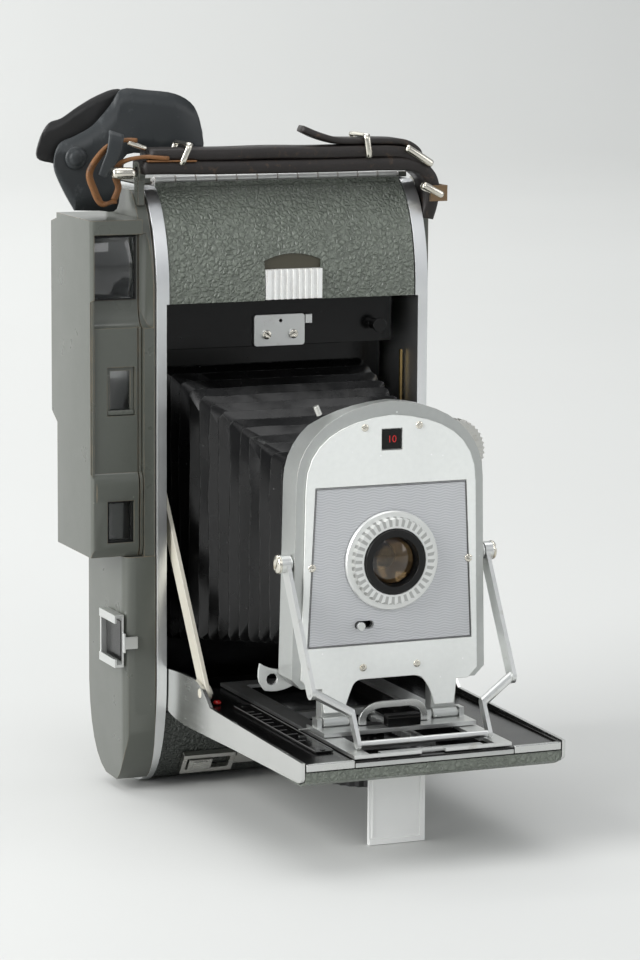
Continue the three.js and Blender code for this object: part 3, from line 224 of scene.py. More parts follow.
def leatherette(name, colour, worn, cell_mm=2.1, depth_mm=0.75, rough=0.36):
    """Embossed covering: crinkled cells, with painted shade in the creases and painted highlight on the
    peaks, dull and lighter where it's rubbed.
    """
    s = Shader(name, colour, rough, specular=0.55)
    warp = s.add("ShaderNodeTexNoise")
    warp.inputs["Scale"].default_value = 1000 / (cell_mm * 2.2)
    warp.inputs["Detail"].default_value = 2
    s.link(s.position, warp.inputs["Vector"])
    push = s.add("ShaderNodeVectorMath", operation="SCALE")
    push.inputs["Scale"].default_value = cell_mm * 1.1 * MM
    s.link(warp.outputs["Color"], push.inputs[0])
    place = s.add("ShaderNodeVectorMath", operation="ADD")
    s.link(s.position, place.inputs[0])
    s.link(push.outputs["Vector"], place.inputs[1])
    cells = s.add("ShaderNodeTexVoronoi", feature="DISTANCE_TO_EDGE")
    cells.inputs["Scale"].default_value = 1000 / cell_mm
    s.link(place.outputs["Vector"], cells.inputs["Vector"])
    pebbles = s.maths("MULTIPLY", s.ramp(cells.outputs["Distance"], 0.0, 0.34, True), 0.6)
    wrinkles = s.maths("MULTIPLY", s.ramp(s.noise(cell_mm * 1.2, 2.0, distortion=0.7), 0.3, 0.7, True), 0.4)
    height = s.maths("ADD", pebbles, wrinkles)
    s.vary_colour(18, 0.12)
    # Painted shade: the creases are darkened.
    s.mix_colour(s.ramp(height, 0.45, 0.1), tuple(c * 0.72 for c in colour))
    # Painted highlight: the peaks are lightened, in place of specular glints.
    s.mix_colour(s.maths("MULTIPLY", s.ramp(height, 0.7, 1.0), 0.5), tuple(c * 1.35 for c in colour))
    s.mix_colour(s.maths("MULTIPLY", s.ramp(s.noise(30, 5.0, rough=0.7), 0.58, 0.75), 0.35), worn)
    s.vary_rough(9, 0.1)
    s.bump(height, depth_mm)
    s.bump(s.noise(0.25, 2.0), 0.02)
    return s.done()


def metal(name, colour, rough, grain=(1, 1, 1), grain_mm=0.5, stain=None, streak=0.1, metallic=1.0):
    """Bare or plated metal with a brushed grain along one axis, smudges and small stains."""
    s = Shader(name, colour, rough, metallic=metallic)
    s.vary_colour(26, 0.07)
    s.vary_rough(12, 0.06)
    s.vary_rough(grain_mm, streak, grain, detail=2.0)
    if stain:
        s.mix_colour(s.maths("MULTIPLY", s.ramp(s.noise(7, 6.0, rough=0.7), 0.58, 0.72), 0.5), stain)
    s.bump(s.noise(grain_mm, 2.0, grain), 0.006)
    return s.done()


def enamel(name, colour, rough, worn=None, metallic=0.0, coat=0.25, edge_mm=0.5, peel_mm=1.6, specular=0.5):
    """Sprayed enamel: orange peel, faint dust, and wear along its edges."""
    s = Shader(name, colour, rough, metallic=metallic, coat=coat, specular=specular)
    s.vary_colour(40, 0.06)
    s.vary_colour(2.2, 0.05)
    s.vary_rough(14, 0.08)
    if worn:
        s.mix_colour(s.edges(edge_mm, 6), worn)
    s.specks(2.4, 0.05, tuple(min(1.0, c * 1.8 + 0.02) for c in colour))
    s.bump(s.noise(peel_mm, 2.0), 0.012)
    return s.done()


WAVE_LENGTH_MM = 6.2
WAVE_RISE_MM = 0.3
LINE_PITCH_MM = 1.05


def wavy_panel(name):
    """Printed panel: fine horizontal lines with a small regular wave, on pale metal."""
    s = Shader(name, (0.60, 0.61, 0.625), 0.36, metallic=0.35)
    split = s.add("ShaderNodeSeparateXYZ")
    s.link(s.position, split.inputs["Vector"])
    along = s.maths("MULTIPLY", split.outputs["X"], 2 * math.pi / (WAVE_LENGTH_MM * MM))
    wave = s.maths("MULTIPLY", s.maths("SINE", along, 0), WAVE_RISE_MM * MM)
    level = s.maths("ADD", split.outputs["Z"], wave)
    line = s.maths("SINE", s.maths("MULTIPLY", level, 2 * math.pi / (LINE_PITCH_MM * MM)), 0)
    s.mix_colour(s.maths("MULTIPLY", s.ramp(line, -0.1, 0.75), 0.34), (0.30, 0.31, 0.33))
    s.vary_colour(30, 0.05)
    s.bump(line, 0.02)
    return s.done()


def optical(name, tint, rough=0.02, ior=1.5):
    """Clear or tinted glass with a thin coating."""
    s = Shader(name, tint, rough)
    s.bsdf.inputs["Transmission Weight"].default_value = 1.0
    s.bsdf.inputs["IOR"].default_value = ior
    s.bsdf.inputs["Coat Weight"].default_value = 0.4
    s.bsdf.inputs["Coat Tint"].default_value = (1, 1, 1, 1)
    s.vary_rough(8, 0.012)
    return s.done()


ALONG_PLEAT = (0.6, 1, 0.22)


def pleat_cloth(name):
    """Thin coated cloth of the bellows: black, half gloss, fine weave, and ridges lightened by dust and
    painted highlight.
    """
    s = Shader(name, (0.0025, 0.0025, 0.0026), 0.25, specular=0.3)
    s.vary_rough(10, 0.12)
    # Dust and painted highlight: the pleats' edges are lightened.
    s.mix_colour(s.edges(0.7, 3, 0.4, 0.7), (0.09, 0.092, 0.09))
    s.specks(1.6, 0.015, (0.12, 0.12, 0.12))
    s.bump(s.noise(9, 2.0, ALONG_PLEAT, rough=0.5), 0.5)
    s.bump(s.noise(0.4, 2.0), 0.03)
    return s.done()


def fluted_metal(name, colour, lens_z, flutes, inner_mm, outer_mm):
    """Bright metal whose knurled ring, about the lens axis, has painted shade in its grooves."""
    s = Shader(name, colour, 0.33, metallic=0.6, coat=0.1)
    split = s.add("ShaderNodeSeparateXYZ")
    s.link(s.position, split.inputs["Vector"])
    up = s.maths("SUBTRACT", split.outputs["Z"], lens_z)
    squares = s.maths("ADD", s.maths("POWER", split.outputs["X"], 2), s.maths("POWER", up, 2))
    radius = s.maths("SQRT", squares, 0)
    wave = s.maths("SINE", s.maths("MULTIPLY", s.maths("ARCTAN2", up, split.outputs["X"]), flutes), 0)
    inside = s.maths("MULTIPLY", s.ramp(radius, (inner_mm - 0.1) * MM, inner_mm * MM),
                     s.ramp(radius, (outer_mm + 0.1) * MM, outer_mm * MM))
    # Painted shade: the grooves of the knurled ring are darkened.
    s.mix_colour(s.maths("MULTIPLY", s.ramp(wave, 0.25, -0.35), inside), (0.46, 0.465, 0.45))
    s.vary_rough(6, 0.05)
    return s.done()


def soft_vinyl(name, colour, rubbed):
    """Smooth vinyl sheet: scuffs, a paler edge that is painted highlight, and a very fine grain."""
    s = Shader(name, colour, 0.42, specular=0.4)
    s.vary_colour(22, 0.25)
    s.mix_colour(s.maths("MULTIPLY", s.ramp(s.noise(9, 6.0, rough=0.7), 0.6, 0.72), 0.25), rubbed)
    # Painted highlight: the sheet's edges take the paler rubbed colour.
    s.mix_colour(s.maths("MULTIPLY", s.edges(0.6, 40, 0.2, 0.4), 0.7), rubbed)
    s.vary_rough(12, 0.1)
    s.bump(s.noise(0.5, 2.0), 0.015)
    s.bump(s.noise(14, 2.0), 0.35)
    return s.done()


def old_leather(name, colour, edge):
    """Vegetable-tanned strap: cracked dark top and lighter, rubbed edges."""
    s = Shader(name, colour, 0.5, specular=0.45)
    s.vary_colour(6, 0.25)
    s.mix_colour(s.ramp(s.noise(5, 7.0, rough=0.75, distortion=0.6), 0.57, 0.66), edge)
    s.mix_colour(s.edges(0.7, 2.5, 0.35, 0.6), tuple(c * 1.5 for c in edge))
    s.vary_rough(4, 0.16)
    s.bump(s.noise(1.3, 6.0, rough=0.7, distortion=0.8), 0.14)
    s.bump(s.noise(9, 3.0), 0.3)
    return s.done()


ALONG_X = (0.03, 1, 1)
ALONG_Y = (1, 0.03, 1)
ALONG_Z = (1, 1, 0.03)
LENS_AXIS_HEIGHT = 0.11107  # metres
KNURLS = 36
KNURLED_RING_MM = (14.0, 17.3)  # inner and outer radius

COVER = leatherette("cover_leatherette", (0.150, 0.168, 0.140), (0.19, 0.205, 0.172))
# A darker copy of the cover leatherette: painted shade for the lower front panel, which lies in the bed's
# shadow.
SHADED_COVER = leatherette("lower_leatherette_painted_shade", (0.052, 0.058, 0.051), (0.09, 0.1, 0.085))
CASTING = enamel("casting_enamel", (0.084, 0.090, 0.077), 0.3, worn=(0.24, 0.17, 0.10), coat=0.3,
                 edge_mm=0.4)
TRIM = metal("trim_aluminium", (0.90, 0.91, 0.91), 0.33, ALONG_Z, streak=0.03)
POLISHED = metal("polished_aluminium", (0.66, 0.665, 0.65), 0.24, ALONG_Y, stain=(0.52, 0.51, 0.48),
                 streak=0.05)
GLOSS_BLACK = enamel("gloss_black", (0.004, 0.004, 0.004), 0.2, worn=(0.04, 0.036, 0.03), coat=0.08,
                     edge_mm=0.25, specular=0.3)
SATIN_BLACK = enamel("satin_black", (0.014, 0.014, 0.014), 0.42, worn=(0.09, 0.08, 0.07), coat=0.05)
SATIN = metal("satin_plating", (0.74, 0.75, 0.735), 0.34, ALONG_X, grain_mm=0.8, stain=(0.42, 0.38, 0.30),
              streak=0.06)
CASE = enamel("case_satin_metal", (0.52, 0.535, 0.52), 0.34, worn=(0.42, 0.40, 0.36), metallic=0.8, coat=0.2)
PLATE = enamel("plate_pale_enamel", (0.84, 0.86, 0.835), 0.34, worn=(0.45, 0.44, 0.4), metallic=0.12,
               coat=0.3)
PATTERN = wavy_panel("printed_wavy_panel")
BRUSHED = metal("brushed_foot", (0.90, 0.905, 0.89), 0.36, ALONG_Z, grain_mm=0.7, streak=0.16, metallic=0.15)
STEEL = metal("plated_steel", (0.66, 0.655, 0.62), 0.3, ALONG_X, stain=(0.22, 0.15, 0.08))
BRIGHT = enamel("bright_satin_cap", (0.93, 0.935, 0.915), 0.3, worn=(0.5, 0.46, 0.4), metallic=0.2, coat=0.2)
HINGE = enamel("hinge_plating", (0.78, 0.785, 0.77), 0.36, worn=(0.3, 0.17, 0.08), metallic=0.35, coat=0.1)
# A dark brownish colour: painted shade for the latch recess, whose leather lies in shadow.
RECESS_SHADE = enamel("recess_painted_shade", (0.055, 0.050, 0.032), 0.5, coat=0.0)
DIM = enamel("scale_grey", (0.10, 0.10, 0.098), 0.4, coat=0.0)
TARNISHED = metal("tarnished_buckle", (0.24, 0.165, 0.10), 0.42, ALONG_Z, stain=(0.1, 0.06, 0.03))
BRASS = metal("aged_brass", (0.46, 0.33, 0.14), 0.34, ALONG_Z, stain=(0.12, 0.08, 0.04))
NICKEL = metal("worn_nickel", (0.72, 0.69, 0.61), 0.22, (1, 1, 1), grain_mm=3.0, stain=(0.36, 0.25, 0.10),
               streak=0.04)
BEZEL = fluted_metal("fluted_bezel", (0.80, 0.81, 0.79), LENS_AXIS_HEIGHT, KNURLS, *KNURLED_RING_MM)
# The braces' edges are painted much paler than the cream.
BRACE = enamel("brace_cream", (0.60, 0.57, 0.48), 0.4, worn=(0.75, 0.74, 0.7), metallic=0.2, coat=0.1)
AMBER_GLASS = optical("amber_lens", (0.90, 0.62, 0.30), 0.015, 1.55)
WINDOW_GLASS = optical("window_glass", (0.86, 0.88, 0.88))
BELLOWS = pleat_cloth("bellows_cloth")
STRAP = old_leather("strap_leather", (0.012, 0.009, 0.008), (0.05, 0.03, 0.018))
TAN = old_leather("tan_loop_leather", (0.17, 0.070, 0.018), (0.062, 0.030, 0.013))
VINYL = soft_vinyl("flap_vinyl", (0.025, 0.029, 0.031), (0.17, 0.18, 0.185))
# The same vinyl made darker: painted shade for the inside of the folded flap.
VINYL_SHADED = soft_vinyl("flap_vinyl_painted_shade", (0.009, 0.009, 0.009), (0.03, 0.03, 0.03))
RUBBER = enamel("moulded_black", (0.016, 0.016, 0.016), 0.5, coat=0.0, peel_mm=0.6)
PAPER = leatherette("rolled_paper", (0.60, 0.57, 0.48), (0.5, 0.46, 0.36), cell_mm=0.6, depth_mm=0.02,
                    rough=0.8)
RED = enamel("red_enamel", (0.5, 0.012, 0.01), 0.3)

# Which finish each CAD node gets, and how wide its edges are eased (mm).
FINISH = {
    COVER: (("upper_front_cover", 0.5), ("bed_leather", 0.2)),
    SHADED_COVER: (("lower_front_panel", 0.5),),
    CASTING: (("side_casting_left", 1.1), ("side_casting_right", 1.1), ("finder_housing", 0.9),
              ("base_plate", 0.3), ("back_door", 0.6), ("strap_lug_left", 0.4)),
    TRIM: (("side_frame_left", 0.35), ("side_frame_right", 0.35)),
    POLISHED: (("bed_arm_left", 0.3), ("bed_arm_right", 0.3), ("lock_handle", 0.5)),
    GLOSS_BLACK: (("film_gate_frame", 0.3), ("finder_eyepiece", 0.3), ("standard_lock_latch", 0.3),
                  ("film_release_switch", 0.4), ("lens_cell", 0.15), ("bed_pan", 0.3),
                  ("distance_scale", 0.1)),
    SATIN_BLACK: (("pressure_plate", 0.3), ("shutter_plate", 0.1)),
    SATIN: (("bed_catch_plate", 0.3), ("accessory_shoe", 0.2), ("focus_track", 0.2), ("lens_carriage", 0.25),
            ("shutter_release_lever", 0.35), ("shutter_selector", 0.2), ("strut_frame", 0.35)),
    BRIGHT: (("cover_latch_button", 0.12),),
    HINGE: (("hinge_body_leaf", 0.15), ("hinge_door_leaf", 0.15)),
    CASE: (("standard_case", 0.9),),
    PLATE: (("face_plate", 0.25),),
    BEZEL: (("lens_bezel", 0.12),),
    BRACE: (("bed_brace_left", 0.25), ("bed_brace_right", 0.25)),
    PATTERN: (("pattern_panel", 0.1),),
    BRUSHED: (("support_foot", 0.3),),
    STEEL: (("exit_latch_frame", 0.3), ("exit_latch_button", 0.3), ("film_cutter_bar", 0.25),
            ("pressure_roller_lower", 0.2), ("pressure_roller_upper", 0.2), ("exposure_wheel", 0.1),
            ("cable_release_post", 0.2)),
    BRASS: (("tripod_bush", 0.3),),
    NICKEL: (("strap_lug_right", 0.4),),
    TARNISHED: (("strap_buckle", 0.5),),
    AMBER_GLASS: (("front_lens", 0.0), ("rear_lens_cell", 0.0)),
    WINDOW_GLASS: (("viewfinder_lens", 0.0), ("rangefinder_window", 0.0), ("focus_window", 0.0)),
    RUBBER: (("focus_knob", 0.15),),
    PAPER: (("film_spool", 0.3),),
}


def add_bevel(obj, name, width_mm, angle):
    """Rounds the edges that are sharper than an angle (degrees)."""
    bevel = obj.modifiers.new(name, "BEVEL")
    bevel.width = width_mm * MM
    bevel.segments = 2
    bevel.limit_method = "ANGLE"
    bevel.angle_limit = math.radians(angle)
    return bevel


def ease_edges(obj, width_mm):
    """Joins split vertices, rounds the sharp edges, and shades the rest smooth."""
    mesh = obj.data
    if "custom_normal" in mesh.attributes:
        mesh.attributes.remove(mesh.attributes["custom_normal"])
    mesh.polygons.foreach_set("use_smooth", [True] * len(mesh.polygons))
    weld = obj.modifiers.new("weld", "WELD")
    weld.merge_threshold = 2e-6
    if not width_mm:
        split = obj.modifiers.new("hard_edges", "EDGE_SPLIT")
        split.split_angle = math.radians(25)
    else:
        bevel = add_bevel(obj, "eased_edges", width_mm, 32)
        bevel.harden_normals = True
        bevel.use_clamp_overlap = True


for finish, parts in FINISH.items():
    for node, width in parts:
        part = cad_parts[node]
        part.data.materials.clear()
        part.data.materials.append(finish)
        ease_edges(part, width)


# ---- mesh helpers ------------------------------------------------------------------------------------
def new_piece(name, vertices, faces, material, body=None):
    """A closed mesh in the row's frame, riding on a body."""
    mesh = bpy.data.meshes.new(name)
    mesh.from_pydata([tuple(v) for v in vertices], [], faces)
    work = bmesh.new()
    work.from_mesh(mesh)
    bmesh.ops.remove_doubles(work, verts=work.verts, dist=1e-7)
    bmesh.ops.recalc_face_normals(work, faces=work.faces)
    work.to_mesh(mesh)
    work.free()
    mesh.polygons.foreach_set("use_smooth", [True] * len(mesh.polygons))
    mesh.materials.append(material)
    obj = bpy.data.objects.new(name, mesh)
    bpy.context.scene.collection.objects.link(obj)
    if body:
        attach(obj, body)
    return obj


def harden(obj, width_mm):
    """Gives a made piece a small rounded edge, with flat faces between."""
    add_bevel(obj, "eased_edges", width_mm, 35).harden_normals = True
    return obj


def rings(sections, closed=True, caps=True):
    """Faces that join equal rings of points one after another."""
    count = len(sections[0])
    vertices = [p for ring in sections for p in ring]
    faces = []
    for r in range(len(sections) - 1):
        for i in range(count if closed else count - 1):
            a = r * count + i
            b = r * count + (i + 1) % count
            faces.append((a, b, b + count, a + count))
    if caps:
        faces.append(tuple(range(count))[::-1])
        faces.append(tuple(range((len(sections) - 1) * count, len(sections) * count)))
    return vertices, faces


def turned(name, centre, axis, profile, material, body, sides=32):
    """A turned piece: profile points are (radius, height along the axis), in millimetres."""
    axis = Vector(axis).normalized()
    side = axis.orthogonal().normalized()
    other = axis.cross(side)
    sections = []
    for radius, height in profile:
        sections.append([
            centre + (axis * height + (side * math.cos(t) + other * math.sin(t)) * max(radius, 0.001)) * MM
            for t in (2 * math.pi * i / sides for i in range(sides))
        ])
    vertices, faces = rings(sections)
    return new_piece(name, vertices, faces, material, body)


def smooth_path(points, steps=8):
    """Points along a smooth curve through the given ones."""
    ends = [points[0] * 2 - points[1], *points, points[-1] * 2 - points[-2]]
    path = []
    for i in range(1, len(ends) - 2):
        a, b, c, d = ends[i - 1:i + 3]
        for k in range(steps):
            t = k / steps
            path.append(0.5 * (2 * b + (c - a) * t + (2 * a - 5 * b + 4 * c - d) * t * t
                               + (3 * b - 3 * c + d - a) * t ** 3))
    path.append(points[-1])
    return path


def swept(name, path, section, across, material, body, taper=None):
    """A section of (across, thickness) points, in millimetres, carried along a path."""
    across = Vector(across).normalized()
    sections = []
    for i, point in enumerate(path):
        ahead = path[min(i + 1, len(path) - 1)]
        behind = path[max(i - 1, 0)]
        tangent = (ahead - behind).normalized()
        wide = (across - tangent * across.dot(tangent)).normalized()
        thick = tangent.cross(wide)
        scale = taper(i / (len(path) - 1)) if taper else 1.0
        sections.append([point + (wide * u * scale + thick * v) * MM for u, v in section])
    vertices, faces = rings(sections)
    return new_piece(name, vertices, faces, material, body)


def round_section(radius, sides):
    turns = [2 * math.pi * i / sides for i in range(sides)]
    return [(radius * math.cos(turn), radius * math.sin(turn)) for turn in turns]


def strap_section(width, thickness, corner=0.6, crown=0.0):
    """A flat leather strip with rounded edges and a slightly domed face."""
    w, t = width / 2, thickness / 2
    shoulder = w - corner * 0.3
    top = [(-w + corner, t), (-w * 0.5, t + crown * 0.7), (0, t + crown), (w * 0.5, t + crown * 0.7)]
    bottom = [(w - corner, -t), (0, -t), (-w + corner, -t)]
    return [(-w, 0), (-shoulder, t * 0.7), *top, (w - corner, t), (shoulder, t * 0.7), (w, 0),
            (shoulder, -t * 0.7), *bottom, (-shoulder, -t * 0.7)]


def screw(name, centre, axis, radius, body, height=0.7, slot_turn=20.0, slot=True):
    """A domed screw head whose slot is cut into the metal, or a plain rivet head without one."""
    profile = [(radius * 0.96, -0.3), (radius, 0.1), (radius * 0.97, height * 0.55),
               (radius * 0.85, height * 0.85), (radius * 0.5, height * 1.02), (radius * 0.02, height * 1.06)]
    obj = turned(name, centre, axis, profile, NICKEL, body, sides=28)
    if not slot:
        return obj
    axis = Vector(axis).normalized()
    side = axis.orthogonal().normalized()
    turn = math.radians(slot_turn)
    across = side * math.cos(turn) + axis.cross(side) * math.sin(turn)
    half = max(0.16, radius * 0.16) * MM
    slot_floor = height * 0.3 * MM
    work = bmesh.new()
    work.from_mesh(obj.data)
    for offset in (-half * 1.12, -half, half, half * 1.12):
        everything = work.verts[:] + work.edges[:] + work.faces[:]
        bmesh.ops.bisect_plane(work, geom=everything, plane_co=centre + across * offset, plane_no=across)
    for vertex in work.verts:
        away = vertex.co - centre
        if abs(away.dot(across)) <= half * 1.02 and away.dot(axis) > slot_floor:
            vertex.co -= axis * (away.dot(axis) - slot_floor)
    work.to_mesh(obj.data)
    work.free()
    return obj


def block(name, x0, x1, y0, y1, z0, z1, material, body, ease=0.3):
    """A small fitting with eased edges, given by its corners in the design frame."""
    corners = [at(x, y, z) for x in (x0, x1) for y in (y0, y1) for z in (z0, z1)]
    faces = [(0, 1, 3, 2), (4, 6, 7, 5), (0, 4, 5, 1), (2, 3, 7, 6), (0, 2, 6, 4), (1, 5, 7, 3)]
    return harden(new_piece(name, corners, faces, material, body), ease)


def window_ring(name, x0, x1, z0, z1, y0, y1, wall, material, body):
    """A rectangular frame with an open middle, square on to the front."""
    outer = [(x0, z0), (x1, z0), (x1, z1), (x0, z1)]
    inner = [(x0 + wall, z0 + wall), (x1 - wall, z0 + wall), (x1 - wall, z1 - wall), (x0 + wall, z1 - wall)]
    vertices = [at(x, y, z) for y in (y0, y1) for x, z in outer + inner]
    faces = []
    for i in range(4):
        j = (i + 1) % 4
        faces += [(i, j, j + 4, i + 4), (i + 8, i + 12, j + 12, j + 8)]
        faces += [(i, i + 8, j + 8, j), (i + 4, j + 4, j + 12, i + 12)]
    return harden(new_piece(name, vertices, faces, material, body), 0.15)


# ---- bellows -----------------------------------------------------------------------------------------
BELLOWS_FRONT = {"y": -83.6, "half": 35.0, "low": 76.4, "high": 146.6}
BELLOWS_BACK = {"y": 33.4, "half": 46.2, "low": 57.4, "high": 172.6}
PLEATS = 13
SLEEVE_FRONT = {"y": -85.8, "half": 29.2, "low": 82.2, "high": 140.6}
SLEEVE_BACK = {"y": -64.0, "half": 29.2, "low": 82.2, "high": 140.6}
SLEEVE_PLEATS = 4
RIDGE_INSET = 0.15
RIDGE_CORNER = 2.6
VALLEY_CORNER = 7.5
RIDGE_FLAT = 0.55
CLOTH_THICKNESS = 0.7
CRIMP = 0.7  # how far the cloth wanders along the bellows
UPPER_CORNER_CRIMP = 1.7


def bellows_ring(share, inset, corner, start, finish, shift=0.0):
    """One ring of the bellows, with its corners folded in by the given amount."""
    def blend(key):
        return start[key] + (finish[key] - start[key]) * share

    y = blend("y") + shift
    half, low, high = blend("half") - inset, blend("low") + inset, blend("high") - inset
    ring = []
    for sx, sz in ((1, -1), (1, 1), (-1, 1), (-1, -1)):
        z = high if sz > 0 else low
        points = [(sx * half, z - sz * corner), (sx * (half - corner * 0.32), z - sz * corner * 0.32),
                  (sx * (half - corner), z)]
        if sx * sz > 0:
            ring += points
        else:
            ring += points[::-1]
    dense = []
    for i, (x, z) in enumerate(ring):
        x2, z2 = ring[(i + 1) % len(ring)]
        steps = 8 if math.hypot(x2 - x, z2 - z) > 20 else 1
        dense += [(x + (x2 - x) * k / steps, z + (z2 - z) * k / steps) for k in range(steps)]
    return [(x, y, z) for x, z in dense]


def pleated_tube(name, start, finish, pleats, depth, body):
    """A tube of pleats between two rectangular ends, crumpled a little at its upper corners."""
    sections = []
    count = 2 * pleats
    for i in range(count + 1):
        ridge = i % 2 == 0
        inset, corner = (RIDGE_INSET, RIDGE_CORNER) if ridge else (depth, VALLEY_CORNER)
        ring = bellows_ring(i / count, inset, corner, start, finish)
        crimp = [UPPER_CORNER_CRIMP if abs(x) > 0.6 * start["half"] and z > 120 else CRIMP
                 for x, _, z in ring]
        wander = [random.uniform(-c, c) for c in crimp]
        if i in (0, count):
            wander = [0.0] * len(ring)
        sections.append([at(x, y + w, z) for (x, y, z), w in zip(ring, wander)])
        if ridge and 0 < i < count:  # a narrow flat along each ridge, as pressed cloth has
            again = bellows_ring(i / count, inset, corner, start, finish, shift=RIDGE_FLAT)
            sections.append([at(x, y + w, z) for (x, y, z), w in zip(again, wander)])
    vertices, faces = rings(sections, caps=False)
    tube = new_piece(name, vertices, faces, BELLOWS)
    shell = tube.modifiers.new("cloth_thickness", "SOLIDIFY")
    shell.thickness = CLOTH_THICKNESS * MM
    shell.offset = -1.0
    add_bevel(tube, "soft_folds", 0.35, 24)
    for modifier in [m.name for m in tube.modifiers]:
        with bpy.context.temp_override(object=tube, active_object=tube, selected_objects=[tube]):
            bpy.ops.object.modifier_apply(modifier=modifier)
    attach(tube, body)
    return tube


bellows = pleated_tube("bellows_cloth", BELLOWS_FRONT, BELLOWS_BACK, PLEATS, 5.6, "body")
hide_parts("bellows")
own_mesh(bellows)

# The first pleats belong to the standard: they lie inside the rest, and draw out when it's focused near.
sleeve = pleated_tube("bellows_front_pleats", SLEEVE_FRONT, SLEEVE_BACK, SLEEVE_PLEATS, 3.0, "standard")
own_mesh(sleeve)


# ---- carrying strap ----------------------------------------------------------------------------------
STRAP_MIDDLE = 10.2


def nickel_bar(name, start, end, radius):
    """A short rounded bar of the strap's hardware between two design points."""
    a, b = at(*start), at(*end)
    length = (b - a).length / MM
    profile = [(radius * 0.55, 0), (radius * 0.9, radius * 0.25), (radius, radius * 0.7),
               (radius, length - radius * 0.7), (radius * 0.9, length - radius * 0.25),
               (radius * 0.55, length)]
    turned(name, a, b - a, profile, NICKEL, "body", 20)


def strap_keeper(name, x, z, half_high, lean):
    """A rectangular wire loop round the strap's layers, leaning a little along the strap."""
    corners = [at(x + sz * lean, STRAP_MIDDLE + sy * 7.9, z + sz * half_high)
               for sy, sz in ((-1, -1), (1, -1), (1, 1), (-1, 1))]
    path = [corners[i] + (corners[(i + 1) % 4] - corners[i]) * k / 6 for i in range(4) for k in range(6)]
    sections = []
    for i, point in enumerate(path):
        tangent = (path[(i + 1) % len(path)] - path[i - 1]).normalized()
        wide = Vector((1, 0, 0))
        thick = tangent.cross(wide)
        sections.append([point + (wide * u * 1.5 + thick * v) * MM for u, v in round_section(0.95, 10)])
    sections.append(sections[0])
    vertices, faces = rings(sections, caps=False)
    new_piece(name, vertices, faces, NICKEL, "body")


def strap():
    """Two thick leather layers with a curled tongue, wire keepers and a buckled right end."""
    lower = [(-64, 257.6), (-52, 257.5), (-34, 257.0), (-10, 256.8), (18, 256.7), (40, 256.8), (53, 256.4),
             (58.6, 254.6), (62.6, 250.6), (64.0, 245.4), (63.8, 239.6), (62.6, 233.4)]
    upper = [(-61, 262.6), (-46, 262.5), (-28, 262.3), (-8, 262.5), (10, 262.1), (26, 262.1), (42, 262.0),
             (52, 260.9), (58, 257.6)]
    tongue = [(58.5, 257.6), (57, 262.0), (51, 265.4), (41, 266.2), (30, 266.3), (21, 266.8), (13, 269.0),
              (6.5, 271.8)]
    for name, route, width, thickness in (
        ("handle_strap_lower", lower, 14.8, 5.4),
        ("handle_strap_upper", upper, 14.4, 4.8),
        ("handle_strap_tongue", tongue, 12.4, 2.6),
    ):
        path = smooth_path([at(x, STRAP_MIDDLE, z) for x, z in route], 7)
        narrow = None if name.endswith("upper") else (lambda t: 1 - 0.5 * max(0.0, t - 0.82) / 0.18)
        section = strap_section(width, thickness, corner=0.9, crown=0.3)
        made = swept(name, path, section, (0, 1, 0), STRAP, "body", narrow)
        if name == "handle_strap_lower":
            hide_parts("handle_strap")
    edge = smooth_path([at(x, STRAP_MIDDLE - 7.3, z) for x, z in
                        ((-63, 260.4), (-58, 260.3), (-52, 260.2), (-46, 260.1), (-42, 260.0))], 7)
    lining = swept("handle_strap_lining", edge, strap_section(2.0, 0.7, 0.2), (0, 1, 0), TAN, "body")
    strap_keeper("strap_keeper_1", -46.5, 263.0, 3.6, 1.6)
    strap_keeper("strap_keeper_2", 33.5, 264.6, 4.2, -0.6)
    nickel_bar("strap_ring_front", (50.5, 2.4, 263.6), (62.5, 2.4, 256.2), 1.7)
    nickel_bar("strap_ring_back", (50.5, 17.2, 263.6), (62.5, 17.2, 256.2), 1.7)
    nickel_bar("strap_ring_end", (61.6, 2.0, 256.6), (61.6, 18.2, 256.6), 1.5)
    nickel_bar("strap_lug_roller_left", (-78.0, 3.4, 255.9), (-68.2, 3.4, 255.6), 2.4)
    nickel_bar("strap_lug_roller_right", (57.8, 2.2, 248.0), (67.4, 2.2, 243.2), 1.9)
    nickel_bar("strap_small_ring_left", (-70.0, 7.0, 268.0), (-62.0, 7.0, 265.0), 1.1)


strap()


def tan_loop():
    """Two short suede thongs that tie the carrying strap to its left lug."""
    routes = (
        [(-66, 8, 268.6), (-72, 8, 268.4), (-79.5, 7, 265.2), (-86.2, 6.4, 256.6), (-84.6, 6.4, 249.4),
         (-81.2, 7, 243.8), (-75, 9, 243.8)],
        [(-54, 2.6, 261.4), (-64, 4.4, 262.0), (-72.4, 7, 259.8), (-74.6, 8.6, 254.6), (-73.2, 9, 249.5),
         (-75.4, 8.6, 244.4)],
    )
    for index, (route, wide) in enumerate(zip(routes, (4.0, 3.6))):
        path = smooth_path([at(*p) for p in route], 7)
        section = strap_section(wide, 1.6, 0.5)
        made = swept(f"strap_tan_loop_{index + 1}", path, section, (0.75, 0.65, 0), TAN, "body")


tan_loop()


# ---- finder flap -------------------------------------------------------------------------------------
FLAP_MIDDLE_Z = 262


